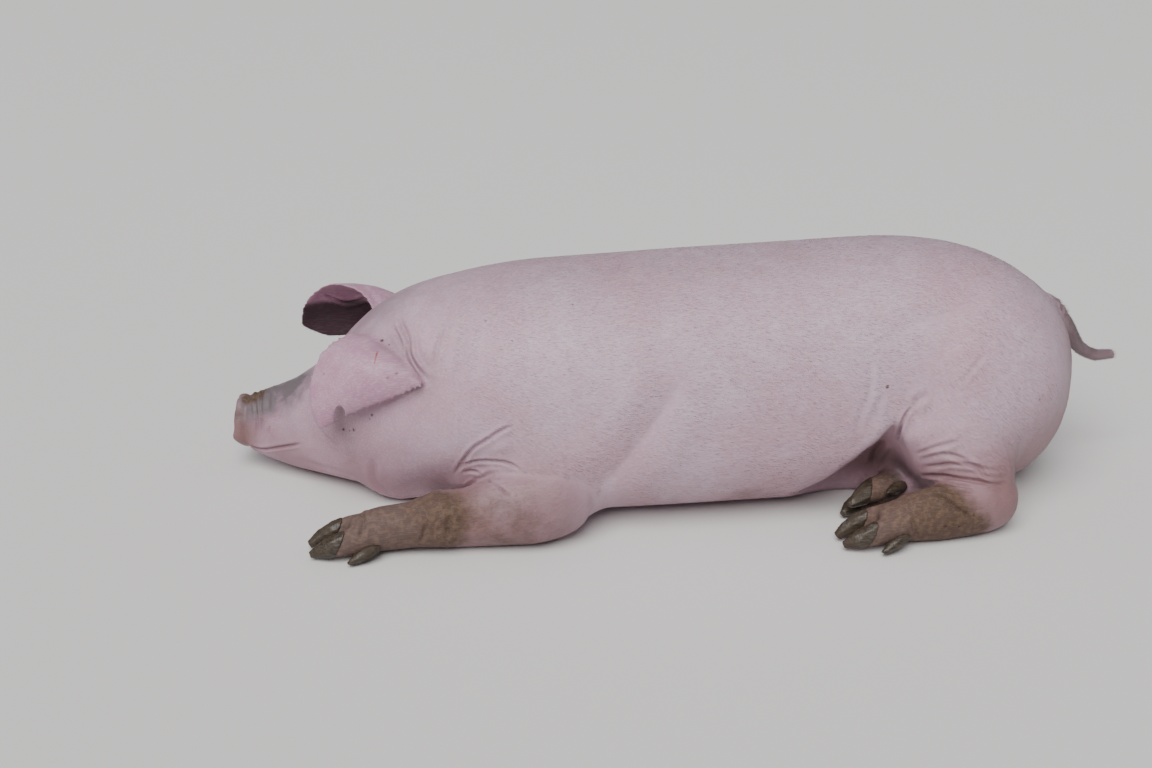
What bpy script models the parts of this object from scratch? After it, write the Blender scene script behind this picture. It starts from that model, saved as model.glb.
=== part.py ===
"""A market pig lying on its chest with its head on the floor, life size, in metres.

The head is towards -X, the pig's left side is towards -Y and the floor is z = 0.
The flesh is modelled whole: lofts and ellipsoids are fused by a voxel remesh and smoothed.
Legs, ears, tail and eyes are set into it, and it is then parted into its named pieces, a
thin gap apart. At the end everything moves so that the origin is under the middle of it.
"""

import math

import bmesh
import bpy
import numpy as np
from mathutils import Matrix, Vector

# ---------------------------------------------------------------- driving sizes
PART_GAP = 0.0004          # clear gap between neighbouring pieces
BED_GAP = 0.0012           # how much larger than a leg or a foot its bed in the body is
BODY_VOXEL = 0.0065        # size of the remesh that fuses the body's forms
LIMB_VOXEL = 0.0055        # the same for a leg
TAIL_VOXEL = 0.0040
FOOT_VOXEL = 0.0028        # the same for the small forms of a foot
DEWCLAW_VOXEL = 0.0016
FUSE_SMOOTHING = 5         # passes of smoothing when the body's forms are fused
BODY_SMOOTHING = 8         # the same once its hollow is cut
LIMB_SMOOTHING = 4
TAIL_SMOOTHING = 2
SOFT_FROM = -0.40          # behind the head the body is smoothed more, fully from SOFT_TO
SOFT_TO = -0.28
SOFT_PASSES = 60
BODY_TRIANGLES = 2100      # what the body keeps after it is thinned
LIMB_TRIANGLES = 170
FOOT_TRIANGLES = 190
DEWCLAW_TRIANGLES = 56
TAIL_TRIANGLES = 150
RING = 32                  # points round each lofted section of the body
LIMB_RING = 16
SECTION_MIDDLE = 0.46      # height of a section's widest place, as a share of its height
SHARP_ANGLE = 40           # edges sharper than this, in degrees, are not shaded round
FAR = 0.5                  # reach of a cutter that goes beyond every leg and foot
EYE_RADIUS = 0.0120
EYE_DEPTH = 0.0070         # how far the eye's middle lies under the face
EAR_LANES = 7              # points across an ear
EAR_EDGE = 0.0040          # thickness of an ear near its edges

# Sections of neck, trunk and head, from the rump to the snout's disc:
# name: x, y of the middle, half width, top, bottom, squareness
BODY_SECTIONS = {
    "buttock_end": (0.698, 0.002, 0.050, 0.235, 0.110, 2.0),
    "buttock": (0.670, 0.004, 0.112, 0.292, 0.050, 2.1),
    "rump": (0.610, 0.008, 0.158, 0.343, 0.000, 2.2),
    "hip": (0.520, 0.013, 0.184, 0.381, -0.010, 2.2),
    "loin": (0.400, 0.020, 0.192, 0.396, -0.012, 2.2),
    "flank": (0.250, 0.025, 0.200, 0.387, -0.014, 2.25),
    "barrel": (0.080, 0.030, 0.210, 0.377, -0.014, 2.25),
    "ribs": (-0.080, 0.030, 0.205, 0.370, -0.014, 2.25),
    "withers": (-0.200, 0.036, 0.186, 0.366, -0.012, 2.2),
    "neck": (-0.310, 0.052, 0.156, 0.345, -0.008, 2.2),
    "nape": (-0.385, 0.072, 0.130, 0.316, -0.004, 2.2),
    "crown": (-0.440, 0.092, 0.106, 0.268, 0.000, 2.2),
    "brow": (-0.485, 0.107, 0.084, 0.208, 0.002, 2.1),
    "cheek": (-0.530, 0.122, 0.062, 0.164, 0.006, 2.1),
    "muzzle": (-0.575, 0.137, 0.047, 0.138, 0.016, 2.1),
    "nose": (-0.606, 0.147, 0.039, 0.122, 0.028, 2.1),
    "disc_back": (-0.618, 0.151, 0.0415, 0.123, 0.034, 2.1),
    "disc_front": (-0.630, 0.155, 0.0395, 0.118, 0.038, 2.1),
}

# Rounded masses of muscle and fat: name: centre, half sizes, turn about Z in degrees
MASSES = {
    "jowl_left": ((-0.385, 0.012, 0.085), (0.090, 0.062, 0.088), -18),
    "jowl_right": ((-0.355, 0.143, 0.085), (0.090, 0.062, 0.088), -18),
    "cheek_left": ((-0.470, 0.050, 0.095), (0.050, 0.028, 0.050), -18),
    "cheek_right": ((-0.448, 0.146, 0.095), (0.050, 0.028, 0.050), -18),
    "brow_left": ((-0.474, 0.064, 0.186), (0.036, 0.022, 0.022), -18),
    "brow_right": ((-0.456, 0.134, 0.186), (0.036, 0.022, 0.022), -18),
    "ear_base_left": ((-0.405, 0.010, 0.222), (0.048, 0.040, 0.044), -30),
    "ear_base_right": ((-0.365, 0.160, 0.222), (0.048, 0.040, 0.044), -10),
    "shoulder_left": ((-0.160, -0.040, 0.175), (0.210, 0.116, 0.165), 0),
    "shoulder_right": ((-0.160, 0.110, 0.160), (0.210, 0.116, 0.155), 0),
    "upper_arm_left": ((-0.165, -0.100, 0.096), (0.098, 0.076, 0.102), 0),
    "upper_arm_right": ((-0.165, 0.160, 0.096), (0.098, 0.080, 0.102), 0),
    "ham_left": ((0.485, -0.072, 0.190), (0.178, 0.120, 0.165), 0),
    "ham_right": ((0.475, 0.092, 0.150), (0.200, 0.122, 0.160), 0),
    "stifle_left": ((0.425, -0.120, 0.170), (0.068, 0.065, 0.095), 0),
}

# The folded hind left shank belongs to the body: (x, y, z, half width, half height)
SHANK = [
    (0.405, -0.110, 0.190, 0.060, 0.085),
    (0.440, -0.142, 0.135, 0.060, 0.090),
    (0.485, -0.168, 0.090, 0.052, 0.074),
    (0.520, -0.187, 0.058, 0.041, 0.052),
    (0.540, -0.192, 0.048, 0.024, 0.030),
]

# Limbs: name: list of (x, y, z, half width, half height) from the body to the fetlock.
# The hind right cannon lies under the flank and comes out between belly and thigh.
LIMBS = {
    "fore_left": [
        (-0.114, -0.124, 0.072, 0.014, 0.020),
        (-0.130, -0.130, 0.071, 0.036, 0.048),
        (-0.160, -0.141, 0.067, 0.048, 0.062),
        (-0.205, -0.150, 0.061, 0.053, 0.062),
        (-0.265, -0.150, 0.052, 0.047, 0.053),
        (-0.310, -0.150, 0.047, 0.041, 0.046),
        (-0.345, -0.150, 0.046, 0.042, 0.046),
        (-0.390, -0.151, 0.040, 0.034, 0.037),
        (-0.450, -0.152, 0.036, 0.033, 0.035),
    ],
    "fore_right": [
        (-0.114, 0.184, 0.072, 0.014, 0.020),
        (-0.130, 0.190, 0.071, 0.036, 0.048),
        (-0.160, 0.202, 0.067, 0.048, 0.062),
        (-0.205, 0.217, 0.061, 0.053, 0.062),
        (-0.262, 0.233, 0.052, 0.047, 0.053),
        (-0.300, 0.243, 0.047, 0.041, 0.046),
        (-0.334, 0.252, 0.046, 0.042, 0.046),
        (-0.377, 0.263, 0.040, 0.034, 0.037),
        (-0.435, 0.277, 0.036, 0.033, 0.035),
    ],
    "hind_left_cannon": [
        (0.548, -0.190, 0.044, 0.018, 0.022),
        (0.530, -0.193, 0.046, 0.034, 0.040),
        (0.490, -0.205, 0.046, 0.040, 0.048),
        (0.425, -0.214, 0.043, 0.038, 0.047),
        (0.372, -0.220, 0.040, 0.035, 0.041),
        (0.340, -0.222, 0.039, 0.034, 0.036),
    ],
    "hind_right_cannon": [
        (0.550, -0.035, 0.045, 0.030, 0.030),
        (0.475, -0.080, 0.042, 0.034, 0.037),
        (0.368, -0.120, 0.037, 0.031, 0.034),
    ],
}
# Parting planes of the limbs: limb: place, heading of its far side about Z, tilt, and the
# names of the pieces before and after it
LIMB_PARTING = {
    "fore_left": ((-0.345, -0.150, 0.045), 180, 0, "forearm_left", "fore_cannon_left"),
    "fore_right": ((-0.335, 0.252, 0.045), 166, 0, "forearm_right", "fore_cannon_right"),
}

TAIL = [
    (0.620, 0.006, 0.300, 0.022, 0.020),
    (0.662, 0.010, 0.284, 0.020, 0.018),
    (0.702, 0.018, 0.246, 0.017, 0.015),
    (0.736, 0.030, 0.203, 0.014, 0.0125),
    (0.776, 0.040, 0.178, 0.012, 0.0115),
    (0.818, 0.046, 0.174, 0.010, 0.010),
]

# Feet: name: fetlock's place, direction that the claws point to, in degrees about Z, and
# roll about that direction; the hind right foot lies on its side with the sole showing
FEET = {
    "fore_left": ((-0.435, -0.152, 0.036), 180, 0),
    "fore_right": ((-0.420, 0.274, 0.036), 165, 0),
    "hind_left": ((0.355, -0.221, 0.038), 183, 0),
    "hind_right": ((0.384, -0.116, 0.037), 190, 56),
}
CORONET = (0.058, 24.0)            # along the foot, and how far its plane leans back
# The outer dewclaw of a foot, in the foot's frame: (x, y, z, half width, half height)
DEWCLAW = [
    (0.004, 0.022, -0.012, 0.0100, 0.0100),
    (0.018, 0.031, -0.017, 0.0105, 0.0100),
    (0.034, 0.038, -0.023, 0.0085, 0.0080),
    (0.046, 0.042, -0.028, 0.0048, 0.0045),
    (0.051, 0.043, -0.030, 0.0020, 0.0020),
]

# Ears: rows from inside the root to the tip, each with its front edge, its rear edge, how
# far its middle bulges out and its thickness
EARS = {
    "left": [
        ((-0.435, 0.060, 0.255), (-0.335, -0.030, 0.215), 0.004, 0.016),
        ((-0.457, 0.030, 0.272), (-0.362, -0.080, 0.234), 0.012, 0.014),
        ((-0.483, 0.018, 0.269), (-0.367, -0.090, 0.233), 0.018, 0.009),
        ((-0.507, 0.002, 0.256), (-0.380, -0.084, 0.222), 0.020, 0.007),
        ((-0.524, -0.012, 0.222), (-0.430, -0.066, 0.194), 0.017, 0.006),
        ((-0.527, -0.026, 0.180), (-0.470, -0.052, 0.174), 0.009, 0.0055),
        ((-0.514, -0.036, 0.146), (-0.499, -0.040, 0.151), 0.002, 0.005),
    ],
    "right": [
        ((-0.412, 0.120, 0.252), (-0.312, 0.175, 0.195), 0.004, 0.016),
        ((-0.425, 0.145, 0.276), (-0.318, 0.212, 0.204), 0.014, 0.014),
        ((-0.448, 0.170, 0.288), (-0.338, 0.234, 0.204), 0.020, 0.009),
        ((-0.478, 0.198, 0.284), (-0.375, 0.248, 0.192), 0.022, 0.007),
        ((-0.503, 0.222, 0.262), (-0.420, 0.254, 0.176), 0.017, 0.006),
        ((-0.520, 0.240, 0.228), (-0.470, 0.256, 0.166), 0.009, 0.0055),
        ((-0.522, 0.252, 0.192), (-0.508, 0.254, 0.182), 0.002, 0.005),
    ],
}
EAR_NOTCH = ((-0.483, -0.045, 0.173), 0.0075, 3.0, 0.090)   # place, radius, stretch, depth

# Guesses for the eyes; each is then set into the face at the nearest place to its guess
EYES = {"left": (-0.500, 0.020, 0.160), "right": (-0.470, 0.205, 0.160)}

# The hollow between belly and thigh, where the hind right foot shows, by its level:
# z, x and y of the middle, half length in X, half width in Y
HOLLOW = [
    (0.195, 0.347, -0.215, 0.005, 0.030),
    (0.160, 0.344, -0.205, 0.018, 0.060),
    (0.120, 0.336, -0.190, 0.040, 0.085),
    (0.070, 0.322, -0.180, 0.076, 0.100),
    (0.030, 0.310, -0.170, 0.108, 0.105),
    (-0.030, 0.306, -0.170, 0.118, 0.105),
]

# How the body is parted: the piece made, the piece it is taken from, place of the corner of
# the box that takes it, the box's turn about Z and tilt about Y in degrees, its two corners
PARTING = [
    ("lower_jaw", "rump", (-0.515, 0.118, 0.056), -17, 12, (-0.30, -0.20, -0.20),
     (0.0, 0.20, 0.0)),
    ("snout", "rump", (-0.548, 0.128, 0.130), -17, 14, (-0.50, -0.50, -0.50), (0.0, 0.50, 0.50)),
    ("head", "rump", (-0.335, 0.055, 0.170), -14, 8, (-1.0, -1.0, -1.0), (0.0, 1.0, 1.0)),
    ("neck", "rump", (-0.245, 0.040, 0.190), -4, 14, (-1.0, -1.0, -1.0), (0.0, 1.0, 1.0)),
    ("chest", "rump", (-0.020, 0.030, 0.190), 0, -4, (-1.0, -1.0, -1.0), (0.0, 1.0, 1.0)),
    ("trunk", "rump", (0.362, 0.020, 0.200), 0, 5, (-1.0, -1.0, -1.0), (0.0, 1.0, 1.0)),
    ("thigh_left", "rump", (0.500, -0.070, 0.200), 0, 0, (-1.0, -1.0, -1.0), (1.0, 0.0, 1.0)),
    ("thigh_right", "rump", (0.500, 0.096, 0.200), 0, 0, (-1.0, 0.0, -1.0), (1.0, 1.0, 1.0)),
    ("hind_left_shank", "thigh_left", (0.470, -0.150, 0.125), 0, 38, (-1.0, -1.0, -1.0),
     (1.0, 1.0, 0.0)),
]

COLOURS = {
    "skin": ((0.72, 0.47, 0.43, 1.0), 0.60),
    "claw": ((0.22, 0.17, 0.12, 1.0), 0.45),
    "eye": ((0.035, 0.020, 0.014, 1.0), 0.08),
}


# ---------------------------------------------------------------- helpers
def clear_scene():
    for obj in list(bpy.data.objects):
        bpy.data.objects.remove(obj)
    for mesh in list(bpy.data.meshes):
        bpy.data.meshes.remove(mesh)


def new_collection(name):
    found = bpy.data.collections.new(name)
    bpy.context.scene.collection.children.link(found)
    return found


def new_object(name, bm, collection):
    mesh = bpy.data.meshes.new(name)
    bm.to_mesh(mesh)
    bm.free()
    obj = bpy.data.objects.new(name, mesh)
    collection.objects.link(obj)
    return obj


def make_material(name):
    colour, roughness = COLOURS[name]
    material = bpy.data.materials.new(name)
    material.use_nodes = True
    shader = material.node_tree.nodes["Principled BSDF"]
    shader.inputs["Base Color"].default_value = colour
    shader.inputs["Roughness"].default_value = roughness
    material.diffuse_color = colour
    return material


def bake_modifiers(obj):
    """Replaces the object's mesh by its evaluated one, and clears its modifiers."""
    bpy.context.view_layer.update()
    graph = bpy.context.evaluated_depsgraph_get()
    mesh = bpy.data.meshes.new_from_object(obj.evaluated_get(graph))
    obj.modifiers.clear()
    old, obj.data = obj.data, mesh
    bpy.data.meshes.remove(old)
    return obj


def smooth_path(points, steps):
    """Catmull-Rom points through the given rows, with `steps` points for each span."""
    rows = np.array(points, float)
    rows = np.vstack([2 * rows[0] - rows[1], rows, 2 * rows[-1] - rows[-2]])
    path = []
    for a, b, c, d in zip(rows, rows[1:], rows[2:], rows[3:]):
        for t in np.arange(steps) / steps:
            path.append(
                0.5 * (2 * b + (c - a) * t + (2 * a - 5 * b + 4 * c - d) * t**2
                       + (3 * b - a - 3 * c + d) * t**3)
            )
    return np.array([*path, rows[-2]])


def signed_power(value, power):
    return math.copysign(abs(value) ** power, value)


def loft(bm, rings):
    """Joins rings of points, each a list of the same length, into a closed skin."""
    loops = [[bm.verts.new(p) for p in ring] for ring in rings]
    for one, two in zip(loops, loops[1:]):
        for i in range(len(one)):
            j = (i + 1) % len(one)
            bm.faces.new((one[i], one[j], two[j], two[i]))
    bm.faces.new(loops[0][::-1])
    bm.faces.new(loops[-1])


def oval(centre, side, up, half_width, over, under, squareness=2.0, count=RING):
    """A ring round `centre`: a squared oval with its own reach above and below."""
    ring = []
    for i in range(count):
        angle = 2 * math.pi * i / count
        across = half_width * signed_power(math.cos(angle), 2 / squareness)
        rise = signed_power(math.sin(angle), 2 / squareness)
        ring.append(centre + side * across + up * rise * (over if rise > 0 else under))
    return ring


def box(name, place, turn, tilt, low, high, collection, margin=0.0):
    """A box cutter between two corners, in a frame at `place`, turned and tilted."""
    low = Vector(low) - Vector((margin,) * 3)
    high = Vector(high) + Vector((margin,) * 3)
    frame = (Matrix.Translation(place) @ Matrix.Rotation(math.radians(turn), 4, "Z")
             @ Matrix.Rotation(math.radians(tilt), 4, "Y"))
    shape = Matrix.Translation((low + high) / 2) @ Matrix.Diagonal((*(high - low), 1))
    bm = bmesh.new()
    bmesh.ops.create_cube(bm, size=1, matrix=frame @ shape)
    return hide(new_object(name, bm, collection))


def hide(obj):
    obj.hide_render = True
    obj.display_type = "WIRE"
    return obj


def boolean(obj, cutters, operation="DIFFERENCE"):
    """Works the cutters on the object, one Boolean each."""
    for cutter in cutters:
        step = obj.modifiers.new("With " + cutter.name, "BOOLEAN")
        step.operation = operation
        step.object = cutter
    return bake_modifiers(obj)


def grown(obj, margin, collection):
    """A hidden copy, larger all round by the margin, to cut a neighbour with."""
    copy = bpy.data.objects.new(obj.name + "_grown", obj.data.copy())
    collection.objects.link(copy)
    displace = copy.modifiers.new("Grow", "DISPLACE")
    displace.strength = margin
    displace.mid_level = 0.0
    return hide(bake_modifiers(copy))


def copied(obj, name, collection):
    copy = bpy.data.objects.new(name, obj.data.copy())
    collection.objects.link(copy)
    return copy


def taken(obj, name, collection, scratch, place, turn, tilt, low, high):
    """Parts the object with a box: what is inside becomes a new object, a gap away."""
    piece = copied(obj, name, collection)
    boolean(piece, [box(name + "_inside", place, turn, tilt, low, high, scratch)], "INTERSECT")
    boolean(obj, [box(name + "_outside", place, turn, tilt, low, high, scratch, PART_GAP)])
    return piece


def softened(obj, ahead, behind, iterations):
    """Smooths the object's far side more, from nothing at x = ahead to fully at x = behind."""
    weights = obj.vertex_groups.new(name="soft")
    for vert in obj.data.vertices:
        share = (vert.co.x - ahead) / (behind - ahead)
        weights.add([vert.index], min(1.0, max(0.0, share)), "REPLACE")
    smooth = obj.modifiers.new("Soften", "SMOOTH")
    smooth.factor = 0.5
    smooth.iterations = iterations
    smooth.vertex_group = "soft"
    bake_modifiers(obj)
    obj.vertex_groups.clear()
    return obj


def fused(obj, voxel, smoothing, triangles=0):
    """Fuses the object's overlapping shells, smooths the joins and thins the mesh."""
    bm = bmesh.new()
    bm.from_mesh(obj.data)
    bmesh.ops.recalc_face_normals(bm, faces=bm.faces)
    bm.to_mesh(obj.data)
    bm.free()
    remesh = obj.modifiers.new("Fuse", "REMESH")
    remesh.mode = "VOXEL"
    remesh.voxel_size = voxel
    smooth = obj.modifiers.new("Smooth", "SMOOTH")
    smooth.factor = 0.5
    smooth.iterations = smoothing
    bake_modifiers(obj)
    if triangles:
        faces = sum(len(p.vertices) - 2 for p in obj.data.polygons)
        thin = obj.modifiers.new("Thin", "DECIMATE")
        thin.ratio = min(1.0, triangles / faces)
        bake_modifiers(obj)
    return obj


def shells(bm):
    """The separate shells of a bmesh, as lists of vertices."""
    left = set(bm.verts)
    found = []
    for start in bm.verts:
        if start not in left:
            continue
        left.remove(start)
        shell, stack = [start], [start]
        while stack:
            for edge in stack.pop().link_edges:
                for vert in edge.verts:
                    if vert in left:
                        left.remove(vert)
                        shell.append(vert)
                        stack.append(vert)
        found.append(shell)
    return found


def tidy(obj, material):
    """Keeps the object's largest shell, welds slivers away and gives it its material."""
    bm = bmesh.new()
    bm.from_mesh(obj.data)
    bmesh.ops.remove_doubles(bm, verts=bm.verts, dist=2e-5)
    bmesh.ops.dissolve_degenerate(bm, edges=bm.edges, dist=2e-5)
    found = sorted(shells(bm), key=len, reverse=True)
    bmesh.ops.delete(bm, geom=[v for shell in found[1:] for v in shell], context="VERTS")
    bmesh.ops.triangulate(bm, faces=bm.faces)
    bm.to_mesh(obj.data)
    bm.free()
    obj.data.materials.clear()
    obj.data.materials.append(material)
    for polygon in obj.data.polygons:
        polygon.material_index = 0
    obj.data.shade_smooth()
    obj.data.set_sharp_from_angle(angle=math.radians(SHARP_ANGLE))


# ---------------------------------------------------------------- forms
def body_form(bm):
    """Trunk, neck and head as one loft along X, with a section at each named place."""
    rows = smooth_path(list(BODY_SECTIONS.values()), 3)
    rings = []
    for i, (x, y, half_width, top, bottom, squareness) in enumerate(rows):
        ahead = rows[min(i + 1, len(rows) - 1)]
        behind = rows[max(i - 1, 0)]
        side = Vector((behind[1] - ahead[1], ahead[0] - behind[0], 0)).normalized()
        middle = bottom + SECTION_MIDDLE * (top - bottom)
        rings.append(oval(Vector((x, y, middle)), side, Vector((0, 0, 1)), half_width,
                          top - middle, middle - bottom, squareness))
    loft(bm, rings)


def limb_form(bm, stations, steps=4):
    """A tube of changing oval section through the stations."""
    rows = smooth_path(stations, steps)
    rings = []
    for i, (x, y, z, half_width, half_height) in enumerate(rows):
        ahead = Vector(rows[min(i + 1, len(rows) - 1)][:3])
        behind = Vector(rows[max(i - 1, 0)][:3])
        along = (ahead - behind).normalized()
        side = along.cross(Vector((0, 0, 1))).normalized()
        up = side.cross(along)
        rings.append(oval(Vector((x, y, z)), side, up, half_width, half_height, half_height,
                          count=LIMB_RING))
    loft(bm, rings)


def mass_form(bm, centre, half_sizes, turn):
    matrix = (Matrix.Translation(centre) @ Matrix.Rotation(math.radians(turn), 4, "Z")
              @ Matrix.Diagonal((*half_sizes, 1)))
    bmesh.ops.create_uvsphere(bm, u_segments=28, v_segments=18, radius=1, matrix=matrix)


def hollow_form(bm):
    """The hollow under the flank, as level ovals."""
    loft(bm, [oval(Vector((x, y, z)), Vector((1, 0, 0)), Vector((0, 1, 0)), half_length,
                   half_width, half_width, count=20)
              for z, x, y, half_length, half_width in smooth_path(HOLLOW, 2)])


def foot_form(bm):
    """Pastern and two toes with their claws, along +X from the fetlock."""
    limb_form(bm, [(-0.034, 0, 0.000, 0.0335, 0.0355), (-0.005, 0, 0.001, 0.034, 0.035),
                   (0.022, 0, -0.002, 0.032, 0.028), (0.040, 0, -0.006, 0.026, 0.022)])
    for side in (-1, 1):
        limb_form(bm, [(0.012, side * 0.016, -0.002, 0.017, 0.024),
                       (0.040, side * 0.0195, -0.007, 0.0165, 0.0225),
                       (0.062, side * 0.0200, -0.012, 0.0150, 0.0190),
                       (0.082, side * 0.0180, -0.018, 0.0125, 0.0135),
                       (0.102, side * 0.0130, -0.027, 0.0060, 0.0055)])


def ear_form(bm, rows):
    """An ear: each row is a flat, bulging oval between its front and its rear edge."""
    flat = [(*front, *rear, bulge, thickness) for front, rear, bulge, thickness in rows]
    path = smooth_path(flat, 2)
    lanes = np.linspace(-1, 1, EAR_LANES)
    rings = []
    for i, row in enumerate(path):
        front, rear = Vector(row[0:3]), Vector(row[3:6])
        ahead, behind = path[min(i + 1, len(path) - 1)], path[max(i - 1, 0)]
        along = Vector((ahead - behind)[0:3]) + Vector((ahead - behind)[3:6])
        out = along.cross(rear - front).normalized()
        if out.z < 0:
            out = -out
        bulge, thickness = row[6:8]
        sides = []
        for side in (1, -1):
            lane_side = lanes if side > 0 else lanes[-2:0:-1]
            for lane in lane_side:
                half = 0.5 * max(thickness * (1 - lane**2) ** 0.5, 0.25 * EAR_EDGE)
                half = 0.0 if abs(lane) == 1 else half
                sides.append(front.lerp(rear, 0.5 + 0.5 * lane)
                             + out * (bulge * (1 - lane**2) + side * half))
        rings.append(sides)
    loft(bm, rings)


# ---------------------------------------------------------------- pieces
def make_body(pig, scratch):
    bm = bmesh.new()
    body_form(bm)
    for centre, half_sizes, turn in MASSES.values():
        mass_form(bm, centre, half_sizes, turn)
    limb_form(bm, SHANK)
    body = fused(new_object("rump", bm, pig), BODY_VOXEL, FUSE_SMOOTHING)
    softened(body, SOFT_FROM, SOFT_TO, SOFT_PASSES)
    bm = bmesh.new()
    hollow_form(bm)
    bmesh.ops.recalc_face_normals(bm, faces=bm.faces)
    boolean(body, [hide(new_object("hollow", bm, scratch))])
    return fused(body, BODY_VOXEL, BODY_SMOOTHING, BODY_TRIANGLES)


def make_dewclaw(name, side, pig, cutters):
    """A dewclaw on one side of the foot, cut back from the foot itself."""
    bm = bmesh.new()
    limb_form(bm, [(x, side * y, z, half_width, half_height)
                   for x, y, z, half_width, half_height in DEWCLAW])
    dewclaw = fused(new_object(name, bm, pig), DEWCLAW_VOXEL, LIMB_SMOOTHING, DEWCLAW_TRIANGLES)
    return boolean(dewclaw, cutters)


def make_feet(pig, scratch, floor):
    """Four feet, each parted into foot, two claws and two dewclaws, and beds for them."""
    pieces, beds = {}, []
    for where, (place, heading, roll) in FEET.items():
        bm = bmesh.new()
        foot_form(bm)
        foot = fused(new_object("foot_" + where, bm, pig), FOOT_VOXEL, LIMB_SMOOTHING,
                     FOOT_TRIANGLES)
        behind = box("behind", (0, 0, 0), 0, 0, (-FAR, -FAR, -FAR), (PART_GAP, FAR, FAR),
                     scratch)
        boolean(foot, [behind])
        own_bed = grown(foot, PART_GAP, scratch)
        made = [foot]
        for hand, side in (("inner", -1), ("outer", 1)):
            made.append(make_dewclaw(f"dewclaw_{where}_{hand}", side, pig, [behind, own_bed]))
        foot_beds = [grown(piece, BED_GAP, scratch) for piece in made]
        along, lean = CORONET
        for hand, low, high in (("inner", -FAR, 0), ("outer", 0, FAR)):
            made.append(taken(foot, f"claw_{where}_{hand}", pig, scratch, (along, 0, 0), 0,
                              -lean, (0, low, -FAR), (FAR, high, FAR)))
        frame = (Matrix.Translation(place) @ Matrix.Rotation(math.radians(heading), 4, "Z")
                 @ Matrix.Rotation(math.radians(roll), 4, "X"))
        for bed in foot_beds:
            bed.data.transform(frame)
            beds.append(bed)
        for piece in made:
            piece.data.transform(frame)
            boolean(piece, [floor])
            pieces[piece.name] = "skin" if piece is foot else "claw"
    return pieces, beds


def make_limbs(pig, scratch, floor):
    """The legs above the feet, and the hidden copies that cut their beds in the body."""
    pieces, beds = {}, []
    for name, stations in LIMBS.items():
        bm = bmesh.new()
        limb_form(bm, stations)
        limb = fused(new_object(name, bm, pig), LIMB_VOXEL, LIMB_SMOOTHING, LIMB_TRIANGLES)
        beds.append(grown(limb, BED_GAP, scratch))
        foot = name.replace("_cannon", "")
        if foot in FEET:
            place, heading, _ = FEET[foot]
            boolean(limb, [box("ahead", place, heading, 0, (0, -FAR, -FAR), (FAR, FAR, FAR),
                               scratch)])
        boolean(limb, [floor])
        if name in LIMB_PARTING:
            place, heading, tilt, upper, lower = LIMB_PARTING[name]
            taken(limb, lower, pig, scratch, place, heading, tilt, (0, -FAR, -FAR),
                  (FAR, FAR, FAR))
            limb.name = upper
            pieces[lower] = "skin"
        pieces[limb.name] = "skin"
    return pieces, beds


def make_eyes(body, pig, scratch):
    """Eyeballs at the nearest place of the face, and the larger copies that cut sockets."""
    sockets, pieces = [], {}
    for side, guess in EYES.items():
        _, place, normal, _ = body.closest_point_on_mesh(Vector(guess))
        middle = place - normal * EYE_DEPTH
        for name, radius, collection in (("eye_" + side, EYE_RADIUS, pig),
                                         ("socket_" + side, EYE_RADIUS + PART_GAP, scratch)):
            bm = bmesh.new()
            bmesh.ops.create_uvsphere(bm, u_segments=12, v_segments=6, radius=radius,
                                      matrix=Matrix.Translation(middle))
            ball = new_object(name, bm, collection)
        sockets.append(hide(ball))
        pieces["eye_" + side] = "eye"
    return pieces, sockets


def make_ears(pig, scratch, bed):
    pieces = {}
    for side, rows in EARS.items():
        bm = bmesh.new()
        ear_form(bm, rows)
        bmesh.ops.recalc_face_normals(bm, faces=bm.faces)
        ear = new_object("ear_" + side, bm, pig)
        if side == "left":
            place, radius, stretch, depth = EAR_NOTCH
            bm = bmesh.new()
            bmesh.ops.create_cone(
                bm, segments=16, radius1=radius, radius2=radius, depth=depth, cap_ends=True,
                matrix=Matrix.Translation(place) @ Matrix.Diagonal((1, 1, stretch, 1))
                @ Matrix.Rotation(math.radians(90), 4, "X"))
            boolean(ear, [hide(new_object("notch", bm, scratch))])
        boolean(ear, [bed])
        pieces[ear.name] = "skin"
    return pieces


def make_tail(pig, bed):
    bm = bmesh.new()
    limb_form(bm, TAIL)
    tail = fused(new_object("tail", bm, pig), TAIL_VOXEL, TAIL_SMOOTHING, TAIL_TRIANGLES)
    boolean(tail, [bed])
    return {"tail": "skin"}


def centre_on_floor(objects):
    """Moves the meshes so that the origin is under the middle of them all."""
    points = np.array([v.co for obj in objects for v in obj.data.vertices])
    low, high = points.min(axis=0), points.max(axis=0)
    shift = Matrix.Translation((*(-(low + high)[:2] / 2), -low[2]))
    for obj in objects:
        obj.data.transform(shift)


def main():
    clear_scene()
    pig = new_collection("pig")
    scratch = new_collection("cutters")
    floor = box("floor", (0, 0, 0), 0, 0, (-2, -2, -1), (2, 2, 0), scratch)

    body = make_body(pig, scratch)
    pieces, beds = make_limbs(pig, scratch, floor)
    foot_pieces, foot_beds = make_feet(pig, scratch, floor)
    pieces.update(foot_pieces)
    eye_pieces, sockets = make_eyes(body, pig, scratch)
    boolean(body, [floor, *beds, *foot_beds, *sockets])
    body_bed = grown(body, BED_GAP, scratch)
    pieces.update(eye_pieces)
    pieces.update(make_ears(pig, scratch, body_bed))
    pieces.update(make_tail(pig, body_bed))
    for name, source, place, turn, tilt, low, high in PARTING:
        taken(bpy.data.objects[source], name, pig, scratch, place, turn, tilt, low, high)
        pieces[name] = "skin"
    pieces[body.name] = "skin"

    materials = {name: make_material(name) for name in COLOURS}
    made = [bpy.data.objects[name] for name in pieces]
    for obj in made:
        tidy(obj, materials[pieces[obj.name]])
    for obj in list(scratch.objects):
        bpy.data.objects.remove(obj)
    bpy.data.collections.remove(scratch)
    centre_on_floor(made)


main()
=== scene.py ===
import math

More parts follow.
